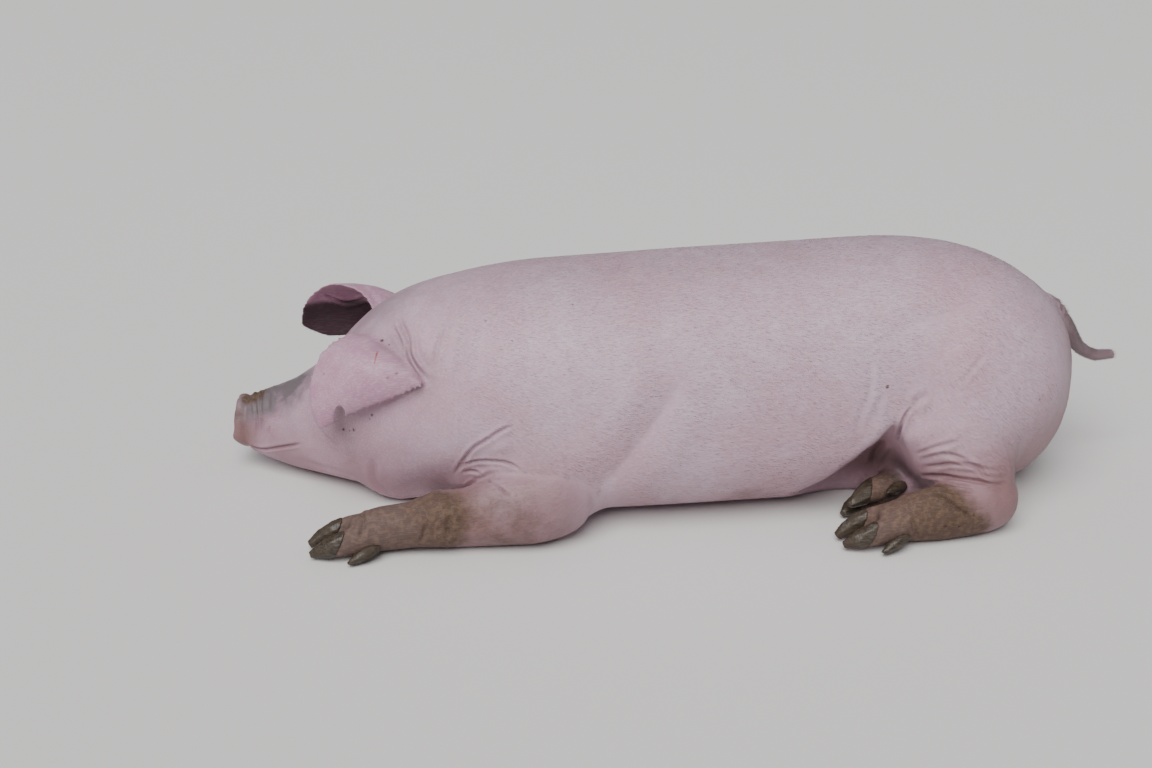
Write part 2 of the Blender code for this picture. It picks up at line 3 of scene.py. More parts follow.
import bmesh
import bpy
import numpy as np
from mathutils import Matrix, Vector
from mathutils.bvhtree import BVHTree


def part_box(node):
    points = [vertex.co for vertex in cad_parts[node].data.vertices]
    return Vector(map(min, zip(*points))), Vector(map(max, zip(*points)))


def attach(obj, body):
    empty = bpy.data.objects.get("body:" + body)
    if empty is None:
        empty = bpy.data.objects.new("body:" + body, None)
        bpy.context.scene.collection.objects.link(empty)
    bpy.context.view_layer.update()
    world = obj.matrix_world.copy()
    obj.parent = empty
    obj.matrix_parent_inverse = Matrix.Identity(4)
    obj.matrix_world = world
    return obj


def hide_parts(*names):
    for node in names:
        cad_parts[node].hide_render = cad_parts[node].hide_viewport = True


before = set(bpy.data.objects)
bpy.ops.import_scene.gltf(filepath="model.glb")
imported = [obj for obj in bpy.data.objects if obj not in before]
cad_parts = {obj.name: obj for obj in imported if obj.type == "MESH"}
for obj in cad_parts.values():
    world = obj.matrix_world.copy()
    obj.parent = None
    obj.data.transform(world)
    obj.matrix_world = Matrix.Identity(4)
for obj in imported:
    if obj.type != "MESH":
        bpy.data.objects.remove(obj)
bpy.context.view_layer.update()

# The lying pig, in metres: the head is towards -X, its left side towards -Y, the floor is z = 0.
# One skin goes over all the flesh, with the folds, lids and nostrils worked into it. Over it
# lies a short white coat of thin tufts, and eyes and horn are pieces of their own.

# -------- driving sizes
COAT_DEPTH = 0.0010        # how far the skin lies under the solids' faces
OVERLAP = 0.0008           # how much each solid grows so that neighbours run together
EAR_OVERLAP = 0.0026       # the same for an ear, whose rim is thinner than the mesh is fine
EAR_THIN = 0.0032          # an ear's skin is left this thick
RIM_PASSES = 10            # rounds of smoothing that shrink the ears' thin rims
RIM_TURN = (0.04, 0.22)    # how much the normals turn where a rim starts, and at its edge
RAY_START = 0.0004         # a ray into the skin starts this far under it
SMOOTH_IN, SMOOTH_OUT, SMOOTH_PASSES = 0.5, -0.52, 6     # one round of rounding
CURVE_STEPS = 6            # points on a curve for each of its path's
SKIN_VOXEL = 0.0030
SKIN_TRIANGLES = 194000
FINE_FOLD, FINE_REACH = 0.009, 2.4     # narrower folds get finer faces, so many widths round
FINE_DISC, FINE_EYE, FINEST_EYE = 0.058, 0.030, 0.020     # reaches of finer faces
EYE_RADIUS = 0.0120
EYE_REACH = 0.024          # the skin round an eye that tells which way it looks
LID = 0.0013               # thickness of an eyelid
HORN_VOXEL = 0.0013
HORN_OVER_SKIN = 0.0026    # how far the skin dives under the horn of a claw
FLOOR_GAP = 0.0002         # nothing lies lower than this over the floor
FLAT_REACH = 0.010         # up to this height the skin is drawn down to the floor

NODES = sorted(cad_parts)
HORN = [name for name in NODES if "claw" in name]
EYES = [name for name in NODES if name.startswith("eye")]
FLESH = [name for name in NODES if name not in HORN and name not in EYES]
MOULDED = [name for name in NODES if "dewclaw" not in name]     # what the skin is moulded on


def kind_of(node):
    """A solid's name without its side."""
    return node.replace("_left", "").replace("_right", "")


def mm(*points):
    """Points given in whole millimetres, in metres."""
    return [tuple(v / 1000 for v in point) for point in points]


def middle_of(node):
    low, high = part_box(node)
    return (low + high) / 2


# -------- mesh helpers
def new_object(name, mesh):
    obj = bpy.data.objects.new(name, mesh)
    bpy.context.scene.collection.objects.link(obj)
    return obj


def mesh_from(bm, name):
    mesh = bpy.data.meshes.new(name)
    bm.to_mesh(mesh)
    bm.free()
    return mesh


def applied(obj):
    """Replaces the object's mesh by its evaluated one, and clears its modifiers."""
    bpy.context.view_layer.update()
    graph = bpy.context.evaluated_depsgraph_get()
    mesh = bpy.data.meshes.new_from_object(obj.evaluated_get(graph))
    obj.modifiers.clear()
    old, obj.data = obj.data, mesh
    bpy.data.meshes.remove(old)
    return obj


def painted(obj, material):
    obj.data.materials.clear()
    obj.data.materials.append(material)


def dropped(obj):
    mesh = obj.data
    bpy.data.objects.remove(obj)
    bpy.data.meshes.remove(mesh)


def fetched(members, what, width, kind=np.float32):
    """One property of every member, as rows of the given width."""
    flat = np.empty(len(members) * width, kind)
    members.foreach_get(what, flat)
    return flat.reshape(-1, width)


def modified(obj, kind, **settings):
    modifier = obj.modifiers.new(kind.title(), kind)
    for name, value in settings.items():
        setattr(modifier, name, value)


def rounded(obj, rounds):
    """Takes the facets away and puts back the size that smoothing costs."""
    for _ in range(rounds):
        modified(obj, "SMOOTH", factor=SMOOTH_IN, iterations=SMOOTH_PASSES)
        modified(obj, "SMOOTH", factor=SMOOTH_OUT, iterations=SMOOTH_PASSES)


def remeshed(obj, voxel):
    modified(obj, "REMESH", mode="VOXEL", voxel_size=voxel)


def node_copy(node, growth):
    """A merged copy of a CAD node's mesh, grown along its normals."""
    part = bmesh.new()
    part.from_mesh(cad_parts[node].data)
    bmesh.ops.remove_doubles(part, verts=part.verts, dist=1e-5)
    part.normal_update()
    for vert in part.verts:
        vert.co += vert.normal * growth
    return part


def joined(nodes):
    whole = bmesh.new()
    for node in nodes:
        part = node_copy(node, EAR_OVERLAP if node.startswith("ear") else OVERLAP)
        mesh = mesh_from(part, node + "_copy")
        whole.from_mesh(mesh)
        bpy.data.meshes.remove(mesh)
    return whole


def largest_shell(bm):
    """Deletes every vertex that isn't connected to the mesh's largest shell."""
    left, best = set(bm.verts), []
    while left:
        stack = [left.pop()]
        shell = list(stack)
        while stack:
            for edge in stack.pop().link_edges:
                for vert in edge.verts:
                    if vert in left:
                        left.remove(vert)
                        shell.append(vert)
                        stack.append(vert)
        if len(shell) > len(best):
            best = shell
    keep = set(best)
    bmesh.ops.delete(bm, geom=[v for v in bm.verts if v not in keep], context="VERTS")


class Surface:
    """A mesh's points, normals and edges as arrays, for shaping it in code."""

    def __init__(self, obj):
        mesh = self.mesh = obj.data
        self.points = fetched(mesh.vertices, "co", 3).astype(float)
        self.count = len(self.points)
        self.edges = fetched(mesh.edges, "vertices", 2, np.int32)
        self.degree = np.bincount(self.edges.ravel(), minlength=self.count).astype(float)
        self.update()

    def update(self):
        """Writes the points back to the mesh, and reads the new normals."""
        self.mesh.vertices.foreach_set("co", self.points.astype(np.float32).ravel())
        self.mesh.update()
        self.normals = fetched(self.mesh.vertex_normals, "vector", 3).astype(float)

    def move(self, amount):
        """Moves the points along their normals."""
        self.points += self.normals * np.asarray(amount)[:, None]

    def spread(self, values, passes):
        """Evens values out between neighbours."""
        one, two = self.edges.T
        for _ in range(passes):
            total = (np.bincount(one, values[two], self.count)
                     + np.bincount(two, values[one], self.count))
            values = 0.5 * values + 0.5 * total / np.maximum(self.degree, 1)
        return values

    def even(self, rows, passes):
        """Evens rows of three values out between neighbours."""
        return np.stack([self.spread(rows[:, axis], passes) for axis in range(3)], 1)

    def relax(self, weight, passes):
        """Smooths the points where the weight isn't nothing."""
        for _ in range(passes):
            self.points += weight[:, None] * (self.even(self.points, 1) - self.points)


def length_of(rows):
    return np.linalg.norm(rows, axis=1)


def ramp(values, start, end):
    """0 at start to 1 at end, smoothly."""
    t = np.clip((values - start) / (end - start), 0.0, 1.0)
    return t * t * (3 - 2 * t)


def bell(values, middle, width):
    """1 at the middle, dying out on both sides of it."""
    return np.exp(-(((values - middle) / width) ** 2))


def along_path(points, path):
    """For each point: how far it is from the path, and its share of the path's length."""
    path = np.asarray(path, float)
    lengths = length_of(np.diff(path, axis=0))
    before = np.concatenate([[0.0], np.cumsum(lengths)])
    nearest = np.full(len(points), 1e9)
    share = np.zeros(len(points))
    for start, end, length, walked in zip(path, path[1:], lengths, before):
        t = np.clip((points - start) @ (end - start) / length**2, 0.0, 1.0)
        gap = length_of(points - (start + t[:, None] * (end - start)))
        closer = gap < nearest
        nearest[closer] = gap[closer]
        share[closer] = ((walked + t * length) / before[-1])[closer]
    return nearest, share


def curved(path):
    """Points on a smooth curve through the path's points."""
    rows = np.array([tuple(p) for p in path], float)
    if len(rows) < 3:
        return rows
    rows = np.vstack([2 * rows[0] - rows[1], rows, 2 * rows[-1] - rows[-2]])
    found = []
    for a, b, c, d in zip(rows, rows[1:], rows[2:], rows[3:]):
        for t in np.arange(CURVE_STEPS) / CURVE_STEPS:
            found.append(0.5 * (2 * b + (c - a) * t + (2 * a - 5 * b + 4 * c - d) * t**2
                                + (3 * b - a - 3 * c + d) * t**3))
    return np.array([*found, rows[-2]])


# -------- the skin's shape
# How strongly each solid takes the broad and the even form: broad forms lose all facets,
# even forms keep the smaller shapes of head and legs, and ears and feet keep their own.
BROAD = {"trunk": 1.0, "rump": 1.0, "chest": 1.0, "thigh": 1.0, "neck": 0.6}
EVEN = {"neck": 1.0, "head": 1.0, "lower_jaw": 1.0, "snout": 0.6, "hind_shank": 1.0,
        "forearm": 1.0, "fore_cannon": 1.0, "hind_cannon": 1.0}
EVEN_FORM = ("even_form", 0.0055, 16, 1)       # name, voxel, rounds of rounding, divisions
BROAD_FORM = ("broad_form", 0.012, 7, 2)
HOLLOW_AT = (0.235, -0.215, 0.080)     # under the flank, where the far foot shows
HOLLOW_REACH = 0.150


def nearest_node(points):
    """The index in NODES of the solid whose surface is nearest to each point."""
    places, faces, owner = [], [], []
    for i, name in enumerate(NODES):
        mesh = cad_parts[name].data
        start = len(places)
        places += [v.co for v in mesh.vertices]
        faces += [[start + v for v in p.vertices] for p in mesh.polygons]
        owner += [i] * len(mesh.polygons)
    tree = BVHTree.FromPolygons(places, faces)
    owner = np.array(owner)
    return owner[[tree.find_nearest(p)[2] for p in points]]


def indices(names):
    return [NODES.index(name) for name in names]


def share_of(nodes, table, other=0.0):
    """Each point's value in a table by kind of node."""
    return np.array([table.get(kind_of(name), other) for name in NODES])[nodes]


def fused_form(name, voxel, rounds, levels):
    obj = new_object(name, mesh_from(joined(MOULDED), name))
    remeshed(obj, voxel)
    rounded(obj, rounds)
    if levels:
        modified(obj, "SUBSURF", levels=levels, render_levels=levels)
    return applied(obj)


def wrapped(obj, target, weights):
    """Draws the object onto the target's surface by the weights."""
    group = obj.vertex_groups.new(name=target.name)
    for i in np.nonzero(weights > 0.001)[0]:
        group.add([int(i)], float(weights[i]), "REPLACE")
    modified(obj, "SHRINKWRAP", target=target, wrap_method="NEAREST_SURFACEPOINT",
             vertex_group=group.name)
    applied(obj)
    obj.vertex_groups.clear()


def base_skin():
    """One closed skin over every solid, without facets, a coat's depth inside them."""
    skin = fused_form("skin", SKIN_VOXEL, 8, 0)
    surface = Surface(skin)
    nodes = nearest_node(surface.points)
    away = length_of(surface.points - HOLLOW_AT)
    open_ground = ramp(away, 0.5 * HOLLOW_REACH, HOLLOW_REACH)
    even = surface.spread(share_of(nodes, EVEN), 12)
    broad = surface.spread(share_of(nodes, BROAD), 16) * open_ground
    even = np.maximum(even, surface.spread(share_of(nodes, BROAD), 12) * (1 - open_ground))
    for form, weights in ((EVEN_FORM, even), (BROAD_FORM, broad)):
        target = fused_form(*form)
        wrapped(skin, target, weights)
        dropped(target)
    modified(skin, "SMOOTH", factor=SMOOTH_IN, iterations=3)
    applied(skin)
    inset(skin, nodes)
    return skin


def room_inside(skin, surface, where):
    """How far each marked point may be drawn in before it meets the skin's other side."""
    room = np.full(surface.count, EAR_OVERLAP + COAT_DEPTH)
    tree = skin_tree(skin)
    for i in np.nonzero(where)[0]:
        inward = -Vector(surface.normals[i])
        through = tree.ray_cast(Vector(surface.points[i]) + inward * RAY_START, inward)[3]
        if through is not None:
            room[i] = min(room[i], max(0.0, (through + RAY_START - EAR_THIN) / 2))
    return surface.spread(room, 4)


def inset(skin, nodes):
    """Draws the skin in to a coat's depth inside the solids; the ears' rims only shrink."""
    surface = Surface(skin)
    ears = surface.spread(share_of(nodes, {"ear": 1.0}), 5)
    surface.relax(ears, 5)
    surface.update()
    rims = ears * ramp(1 - length_of(surface.even(surface.normals, 4)), *RIM_TURN)
    rims = np.clip(1.5 * surface.spread(rims, 3), 0, 1)
    amount = OVERLAP + COAT_DEPTH + ears * (EAR_OVERLAP - OVERLAP)
    amount = np.minimum(amount, room_inside(skin, surface, ears > 0.05)) * (1 - rims)
    for _ in range(3):
        surface.move(-amount / 3)
        surface.relax(0.4 * ears, 1)
        surface.update()
    surface.relax(rims, RIM_PASSES)
    surface.update()


def finer(skin, places):
    """Divides the faces within reach of any of the places, given as (paths, reach)."""
    surface = Surface(skin)
    near = np.zeros(surface.count, bool)
    for path, reach in places:
        near |= along_path(surface.points, path)[0] < reach
    bm = bmesh.new()
    bm.from_mesh(skin.data)
    edges = [e for e in bm.edges if near[e.verts[0].index] and near[e.verts[1].index]]
    bmesh.ops.subdivide_edges(bm, edges=edges, cuts=1, use_grid_fill=True)
    bm.to_mesh(skin.data)
    bm.free()


def short_line(place, direction):
    """A path of a millimetre at a place, for reaching round a point."""
    place = np.array(place, float)
    return [place, place + np.array(direction, float) * 0.001]


# -------- details of the skin


HEAD_TURN, HEAD_AT = 0.262, (-0.53, 0.052)     # the head lies turned by that angle


def mirrored(path):
    """The same path on the other side of the head."""
    axis = np.array((-math.cos(HEAD_TURN), math.sin(HEAD_TURN)))
    found = []
    for x, y, z in path:
        local = np.array((x, y)) - HEAD_AT
        found.append((*(2 * (local @ axis) * axis - local + HEAD_AT), z))
    return found


BROW = ((-622, -10, 160), (-604, -16, 178), (-580, -18, 190))
MOUTH = ((-716, 88, 47), (-700, 80, 45), (-684, 72, 47), (-657, 50, 60), (-638, 32, 71),
         (-622, 18, 81))
# Folds: width, depth, height of the banks, how much painted shade darkens them, and the points
FOLDS = {
    "mouth_left": (0.0022, 0.0046, 0.45, 1.0, *MOUTH),
    "mouth_right": (0.0022, 0.0046, 0.45, 1.0, *MOUTH),
    "jowl_left": (0.006, 0.0034, 0.3, 0.04, (-532, -70, 94), (-524, -66, 82), (-521, -62, 68),
        (-518, -58, 50), (-506, -56, 32), (-488, -54, 16)),
    "jowl_right": (0.006, 0.0034, 0.3, 0.04, (-521, -73, 100), (-521, -66, 82), (-522, -55, 46),
        (-520, -40, 14)),
    "chin_fold": (0.006, 0.0016, 0.5, 0.05, (-640, 20, 40), (-610, 2, 34), (-575, -22, 32),
        (-535, -46, 32)),
    "shoulder_front": (0.0026, 0.005, 0.35, 0.75, (-410, -128, 88), (-399, -140, 117),
        (-385, -153, 146), (-366, -163, 165), (-347, -169, 181), (-325, -174, 193)),
    "shoulder_fold": (0.0024, 0.0044, 0.4, 0.7, (-404, -132, 98), (-393, -142, 116),
        (-367, -157, 127), (-340, -170, 130), (-312, -184, 120)),
    "elbow_fold": (0.0024, 0.0036, 0.4, 0.55, (-404, -134, 96), (-385, -150, 104),
        (-366, -175, 106), (-350, -200, 101), (-335, -218, 94)),
    "shoulder_right": (0.0036, 0.005, 0.8, 0.6, (-380, 190, 100), (-360, 205, 130),
        (-330, 215, 165)),
    "behind_shoulder": (0.024, 0.007, 0.3, 0.0, (-73, -184, 273), (-125, -204, 196),
        (-172, -199, 122), (-205, -199, 66)),
    "behind_shoulder_right": (0.024, 0.007, 0.3, 0.0, (-73, 184, 273), (-125, 204, 196),
        (-172, 210, 122), (-205, 230, 66)),
    "ear_back_1": (0.0036, 0.0036, 0.8, 0.35, (-484, -15, 308), (-479, -29, 303), (-471, -61, 286),
        (-468, -80, 265), (-460, -94, 250), (-440, -111, 234)),
    "ear_back_2": (0.0034, 0.0022, 0.7, 0.25, (-494, -20, 296), (-482, -55, 283), (-467, -85, 259),
        (-454, -102, 240)),
    "ear_back_3": (0.004, 0.0014, 0.6, 0.12, (-470, -30, 306), (-460, -66, 286), (-452, -92, 258)),
    "neck_line": (0.0034, 0.0016, 0.6, 0.2, (-416, -66, 314), (-432, -92, 281), (-438, -105, 254)),
    "neck_line_2": (0.006, 0.0016, 0.5, 0.1, (-385, -80, 318), (-398, -112, 276),
        (-402, -126, 240)),
    "ear_right_roll": (0.0036, 0.0022, 1.3, 0.5, (-578, 204, 262), (-565, 210, 246),
        (-540, 219, 231), (-516, 214, 236), (-500, 205, 250)),
    "flank_crease": (0.0026, 0.006, 0.3, 1.0, (271, -168, 128), (265, -190, 157), (264, -199, 174),
        (268, -202, 190), (276, -203, 204)),
    "flank_crease_2": (0.006, 0.0018, 0.5, 0.1, (276, -203, 204), (288, -203, 216),
        (300, -204, 222)),
    "flank_upper": (0.005, 0.0005, 0.5, 0.05, (207, -180, 286), (205, -196, 234), (193, -202, 188),
        (192, -201, 150)),
    "flank_upper_2": (0.005, 0.0004, 0.5, 0.03, (228, -196, 232), (217, -201, 181)),
    "thigh_top": (0.014, 0.0016, 0.3, 0.0, (222, -171, 303), (322, -152, 331), (426, -134, 344)),
    "thigh_line": (0.0036, 0.0006, 0.5, 0.1, (346, -207, 246), (368, -202, 269), (384, -197, 288)),
    "thigh_line_2": (0.0036, 0.0006, 0.5, 0.1, (404, -184, 304), (422, -192, 288),
        (438, -198, 272)),
    "shank_1": (0.0034, 0.0014, 0.8, 0.15, (290, -198, 120), (310, -214, 137), (329, -224, 148),
        (352, -231, 160)),
    "shank_2": (0.0032, 0.0024, 0.75, 0.25, (298, -203, 112), (319, -219, 128), (339, -230, 132),
        (365, -239, 122), (393, -246, 112), (418, -247, 106)),
    "shank_3": (0.003, 0.0032, 0.75, 0.4, (302, -203, 98), (326, -221, 111), (344, -232, 118),
        (375, -242, 116), (394, -247, 102), (430, -247, 96)),
    "shank_4": (0.0034, 0.0036, 0.75, 0.45, (302, -193, 78), (330, -222, 92), (353, -240, 96),
        (386, -248, 92), (424, -250, 84)),
    "shank_5": (0.003, 0.002, 0.7, 0.25, (330, -232, 84), (349, -248, 87), (372, -254, 86)),
    "shank_6": (0.003, 0.0024, 0.7, 0.35, (312, -250, 82), (342, -260, 84), (370, -264, 80)),
    "hock": (0.0028, 0.0038, 0.5, 0.5, (292, -252, 81), (317, -264, 80), (334, -274, 69),
        (354, -278, 54), (362, -279, 44)),
    "groin": (0.005, 0.004, 0.5, 0.7, (262, -150, 120), (262, -125, 90), (268, -110, 60)),
    "snout_1": (0.0024, 0.0022, 0.8, 0.5, (-699, 66, 60), (-697, 64, 80), (-694, 72, 106),
        (-689, 110, 124), (-681, 146, 112)),
    "snout_2": (0.0024, 0.0018, 0.8, 0.35, (-687, 62, 80), (-685, 66, 98), (-680, 100, 127),
        (-671, 146, 116)),
    "snout_3": (0.003, 0.0014, 0.7, 0.15, (-671, 62, 108), (-667, 94, 130), (-657, 140, 122)),
    "snout_4": (0.0024, 0.0014, 0.8, 0.3, (-676, 56, 76), (-673, 58, 96)),
    "brow_left": (0.0036, 0.0018, 0.7, 0.15, *BROW),
    "brow_right": (0.0036, 0.0018, 0.7, 0.15, *BROW),
    "cheek_left": (0.0034, 0.0018, 0.7, 0.2, (-604, -10, 118), (-592, -20, 104), (-574, -34, 94)),
    "hoof_cleft_fore": (0.0036, 0.003, 0.6, 0.5, (-560, -214, 30), (-552, -206, 52),
        (-552, -180, 64), (-556, -156, 50)),
    "knee_fore": (0.004, 0.0026, 0.7, 0.4, (-432, -212, 20), (-428, -212, 60), (-425, -185, 86)),
    "wrist_fore": (0.0036, 0.0026, 0.7, 0.4, (-468, -210, 16), (-462, -212, 50), (-458, -184, 76)),
    "pastern_hind": (0.0032, 0.003, 0.7, 0.5, (262, -280, 58), (270, -284, 40), (278, -280, 16)),
    "tail_root": (0.0044, 0.003, 0.6, 0.4, (578, -50, 262), (590, -30, 280), (590, -6, 282)),
    "cleft": (0.01, 0.009, 0.5, 0.6, (590, -24, 215), (600, -26, 160), (592, -28, 100),
        (560, -30, 50)),
}
MIRRORED = ("mouth_right", "jowl_right", "brow_right")    # folds given for the other side
# Swellings beside the folds: middle in whole millimetres, reach, height
SWELLINGS = [
    ((-492, -88, 62), 0.046, 0.005), ((-545, -52, 60), 0.03, 0.0018),
    ((-350, -186, 116), 0.03, 0.003), ((-352, -172, 150), 0.03, 0.0026),
    ((352, -236, 106), 0.026, 0.0022), ((400, -252, 98), 0.03, 0.002),
    ((292, -206, 150), 0.04, 0.004), ((236, -200, 160), 0.04, 0.0026),
    ((-455, -85, 275), 0.03, 0.003), ((-672, 56, 36), 0.03, 0.002),
    ((-612, 0, 178), 0.034, 0.0034), ((-566, 170, 185), 0.034, 0.0034),
]


def skin_tree(skin):
    return BVHTree.FromPolygons([v.co for v in skin.data.vertices],
                                [p.vertices for p in skin.data.polygons])


def fold_paths(tree):
    """Each fold's path, drawn onto the nearest places of the skin."""
    found = {}
    for name, spec in FOLDS.items():
        path = mirrored(mm(*spec[4:])) if name in MIRRORED else mm(*spec[4:])
        found[name] = curved([tree.find_nearest(Vector(point))[0] for point in path])
    return found


def ends_of(share, reach):
    """1 along a path, dying out over a share of its length at each end."""
    return ramp(share, 0.0, reach) * ramp(1 - share, 0.0, reach)


def folded(skin, paths):
    """Works the folds in: a narrow valley with a bank on each side, dying out at its ends."""
    surface = Surface(skin)
    for middle, reach, height in SWELLINGS:
        away = length_of(surface.points - mm(middle))
        surface.move(height * ramp(reach - away, 0.0, reach))
    surface.update()
    for name, (width, depth, bank, *_) in FOLDS.items():
        gap, share = along_path(surface.points, paths[name])
        valley = np.exp(-((gap / width) ** 1.4))
        banks = bell(gap, 2.1 * width, 1.1 * width)
        surface.move(ends_of(share, 0.25) * depth * (bank * banks - valley))
    surface.update()


def fold_shade_mask(points, paths):
    # painted shade along each fold's valley
    mask = np.zeros(len(points))
    for name, (width, _, _, shown, *_) in FOLDS.items():
        gap, share = along_path(points, paths[name])
        mask = np.maximum(mask, shown * ends_of(share, 0.2) * bell(gap, 0, 0.9 * width))
    return mask


# The snout's disc: its middle is the front of the solid, and it faces along the head
SNOUT_HIGH = np.array(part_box("snout")[1])
FACE = Vector((-0.960, 0.262, -0.040)).normalized()      # the way the head points
FACE_SIDE = FACE.cross(Vector((0, 0, 1))).normalized()   # towards the pig's right
FACE_UP = FACE_SIDE.cross(FACE)
AHEAD, ASIDE, ABOVE = (np.array(way) for way in (FACE, FACE_SIDE, FACE_UP))
DISC_HALF = (0.040, 0.038)                   # its half width and half height
DISC_ROLL = 0.0022                           # how far its rim is rolled forward
DISC_DISH = 0.0026                           # how deep its front is dished
DISC_GROOVE = (0.019, 0.0045, 0.0030)        # behind the rim: how far, width, depth
DISC_RIM = (0.93, 0.14, 0.0012)              # its rim: share of the half width, width, height
LIP_NOTCH = (0.003, 0.0016)                  # in the middle of its upper rim: width, depth
NOSTRIL_LIP = (1.45, 0.25, 0.0016)           # round it: share of its size, width, height
NOSTRIL_SLANT = 0.25
NOSTRIL = (0.0130, 0.0050, 0.0085, 0.0058)   # to the side, up, half height, half width
NOSTRIL_DEPTH = 0.016


def disc_middle(points):
    """The middle of the disc's front face."""
    ahead = (points - SNOUT_HIGH) @ AHEAD
    return points[ahead > ahead.max() - 0.006].mean(axis=0)


def on_disc(points):
    """How far the points are ahead of the disc's middle, beside it and above it."""
    local = points - disc_middle(points)
    return local @ AHEAD, local @ ASIDE, local @ ABOVE


def with_snout(skin):
    """Gives the disc its rolled rim, a shallow dish and two nostrils."""
    surface = Surface(skin)
    ahead, aside, above = on_disc(surface.points)
    near = (np.abs(ahead) < 0.030) & (np.hypot(aside, above) < 0.07)
    facing = np.clip(surface.normals @ AHEAD, 0, 1) * near
    out = np.hypot(aside / DISC_HALF[0], above / DISC_HALF[1])
    at, width, height = DISC_RIM
    rim = bell(out, at, width) * (ahead > -0.016)
    dish = ramp(1 - out, 0.05, 0.40) * facing
    surface.points += (np.outer(DISC_ROLL * rim * near, AHEAD)
                       - np.outer(DISC_DISH * dish, AHEAD))
    surface.move(height * rim * near)
    back, width, depth = DISC_GROOVE
    behind = near * bell(ahead, -back, width) * ramp(out, 0.5, 0.8)
    surface.move(-depth * behind)
    side, up, tall, wide = NOSTRIL
    at, width, height = NOSTRIL_LIP
    for hand in (-1, 1):
        across = (aside - hand * side) + NOSTRIL_SLANT * hand * (above - up)
        hole = np.hypot(across / wide, (above - up) / tall)
        inside = ramp(1.28 - hole, 0.0, 0.42) * facing
        lip = bell(hole, at, width) * facing
        surface.points += np.outer(height * lip - NOSTRIL_DEPTH * inside, AHEAD)
    width, depth = LIP_NOTCH
    notch = bell(aside, 0, width) * ramp(above, 0.012, 0.024) * near * (ahead > -0.02)
    surface.move(-depth * notch)
    surface.update()


def eye_axes(name, surface):
    """Eye's middle, the way it looks, the way to its front corner, and up across the lids."""
    middle = np.array(middle_of(name))
    near = length_of(surface.points - middle) < EYE_REACH
    out = surface.normals[near].mean(axis=0)
    out /= np.linalg.norm(out)
    front = AHEAD + np.array((0, 0, -0.35))
    front -= out * (front @ out)
    front /= np.linalg.norm(front)
    up = np.cross(front, out)
    return middle, out, front, up if up[2] > 0 else -up


EYE_OPENING = (0.0102, 0.0044, 0.0034)     # half length, and height above and below
EYE_SOCKET = 0.034
LID_FOLDS = (     # distance from the opening, width, height over the eye and under it
    (0.0012, 0.0013, 0.0009, 0.0009),
    (0.0054, 0.0012, -0.0022, -0.0014),
    (0.0105, 0.0016, -0.0016, -0.0012),
)
LID_CUSHION = (0.0225, 0.0065, 0.0034)     # round the eye: radius, width, height


def lid_height(u, height):
    """The edge of an eye's opening over a share of its half length."""
    return height * np.clip(1 - u**2, 0.0, 1.0) ** 0.8


def lid_gap(points, axes):
    """How far each point is from the eye's opening, less than nothing inside it."""
    middle, out, front, up = axes
    local = points - middle
    radius = np.maximum(length_of(local), 1e-9)
    near = (radius < EYE_SOCKET) & (local @ out > 0.1 * radius)
    length, over, under = EYE_OPENING
    u, v = local @ front / length, local @ up
    gap = np.abs(v) - lid_height(u, np.where(v > 0, over, under))
    gap = np.where(np.abs(u) > 1, np.hypot(gap, (np.abs(u) - 1) * length), gap)
    return gap, near, radius, v > 0


def with_lids(skin, axes):
    """Lays lids round each eyeball and opens them, with folds over and under them."""
    surface = Surface(skin)
    at, width, height = LID_CUSHION
    for eye in axes.values():
        gap, near, radius, upper = lid_gap(surface.points, eye)
        cushion = bell(radius, at, width) * height * near
        lid = ramp(EYE_SOCKET - radius, 0.0, 0.016) * near
        folds = sum(bell(gap, away, wide) * np.where(upper, over, under)
                    for away, wide, over, under in LID_FOLDS)
        wanted = np.maximum(radius, EYE_RADIUS + LID) + cushion + lid * folds
        inside = ramp(-gap, -0.0002, 0.0009) * near * (radius < EYE_RADIUS + 0.008)
        wanted = wanted * (1 - inside) + (EYE_RADIUS - 0.0022) * inside
        scale = np.where(near, wanted / radius, 1.0)
        surface.points = eye[0] + (surface.points - eye[0]) * scale[:, None]
    surface.update()


def settled(skin):
    """Puts the skin's lowest flats back on the floor."""
    surface = Surface(skin)
    low = ramp(FLAT_REACH - surface.points[:, 2], 0.0, 0.8 * FLAT_REACH)
    surface.points[:, 2] -= low * COAT_DEPTH * 0.8
    surface.points[:, 2] = np.maximum(surface.points[:, 2], FLOOR_GAP)
    surface.update()


def make_skin():
    skin = base_skin()
    paths = fold_paths(skin_tree(skin))
    eyes = [short_line(middle_of(name), FACE) for name in EYES]
    finer(skin, [(path, FINE_REACH * FOLDS[name][0]) for name, path in paths.items()
                 if FOLDS[name][0] < FINE_FOLD]
          + [(short_line(middle_of("snout") + FACE * 0.02, FACE), FINE_DISC)]
          + [(eye, FINE_EYE) for eye in eyes])
    finer(skin, [(eye, FINEST_EYE) for eye in eyes])
    surface = Surface(skin)
    nodes = nearest_node(surface.points)
    under_horn = np.isin(nodes, indices(HORN)).astype(float)
    under_horn = surface.spread(under_horn, 1)
    surface.move(COAT_DEPTH * surface.spread(under_horn, 6) - HORN_OVER_SKIN * under_horn)
    surface.update()
    folded(skin, paths)
    with_snout(skin)
    surface = Surface(skin)
    axes = {name: eye_axes(name, surface) for name in EYES}
    with_lids(skin, axes)
    settled(skin)
    faces = sum(len(p.vertices) - 2 for p in skin.data.polygons)
    modified(skin, "DECIMATE", ratio=min(1.0, SKIN_TRIANGLES / faces))
    applied(skin)
    bm = bmesh.new()
    bm.from_mesh(skin.data)
    bmesh.ops.triangulate(bm, faces=bm.faces)
    largest_shell(bm)
    bm.to_mesh(skin.data)
    bm.free()
    skin.data.shade_smooth()
    return skin, paths, axes
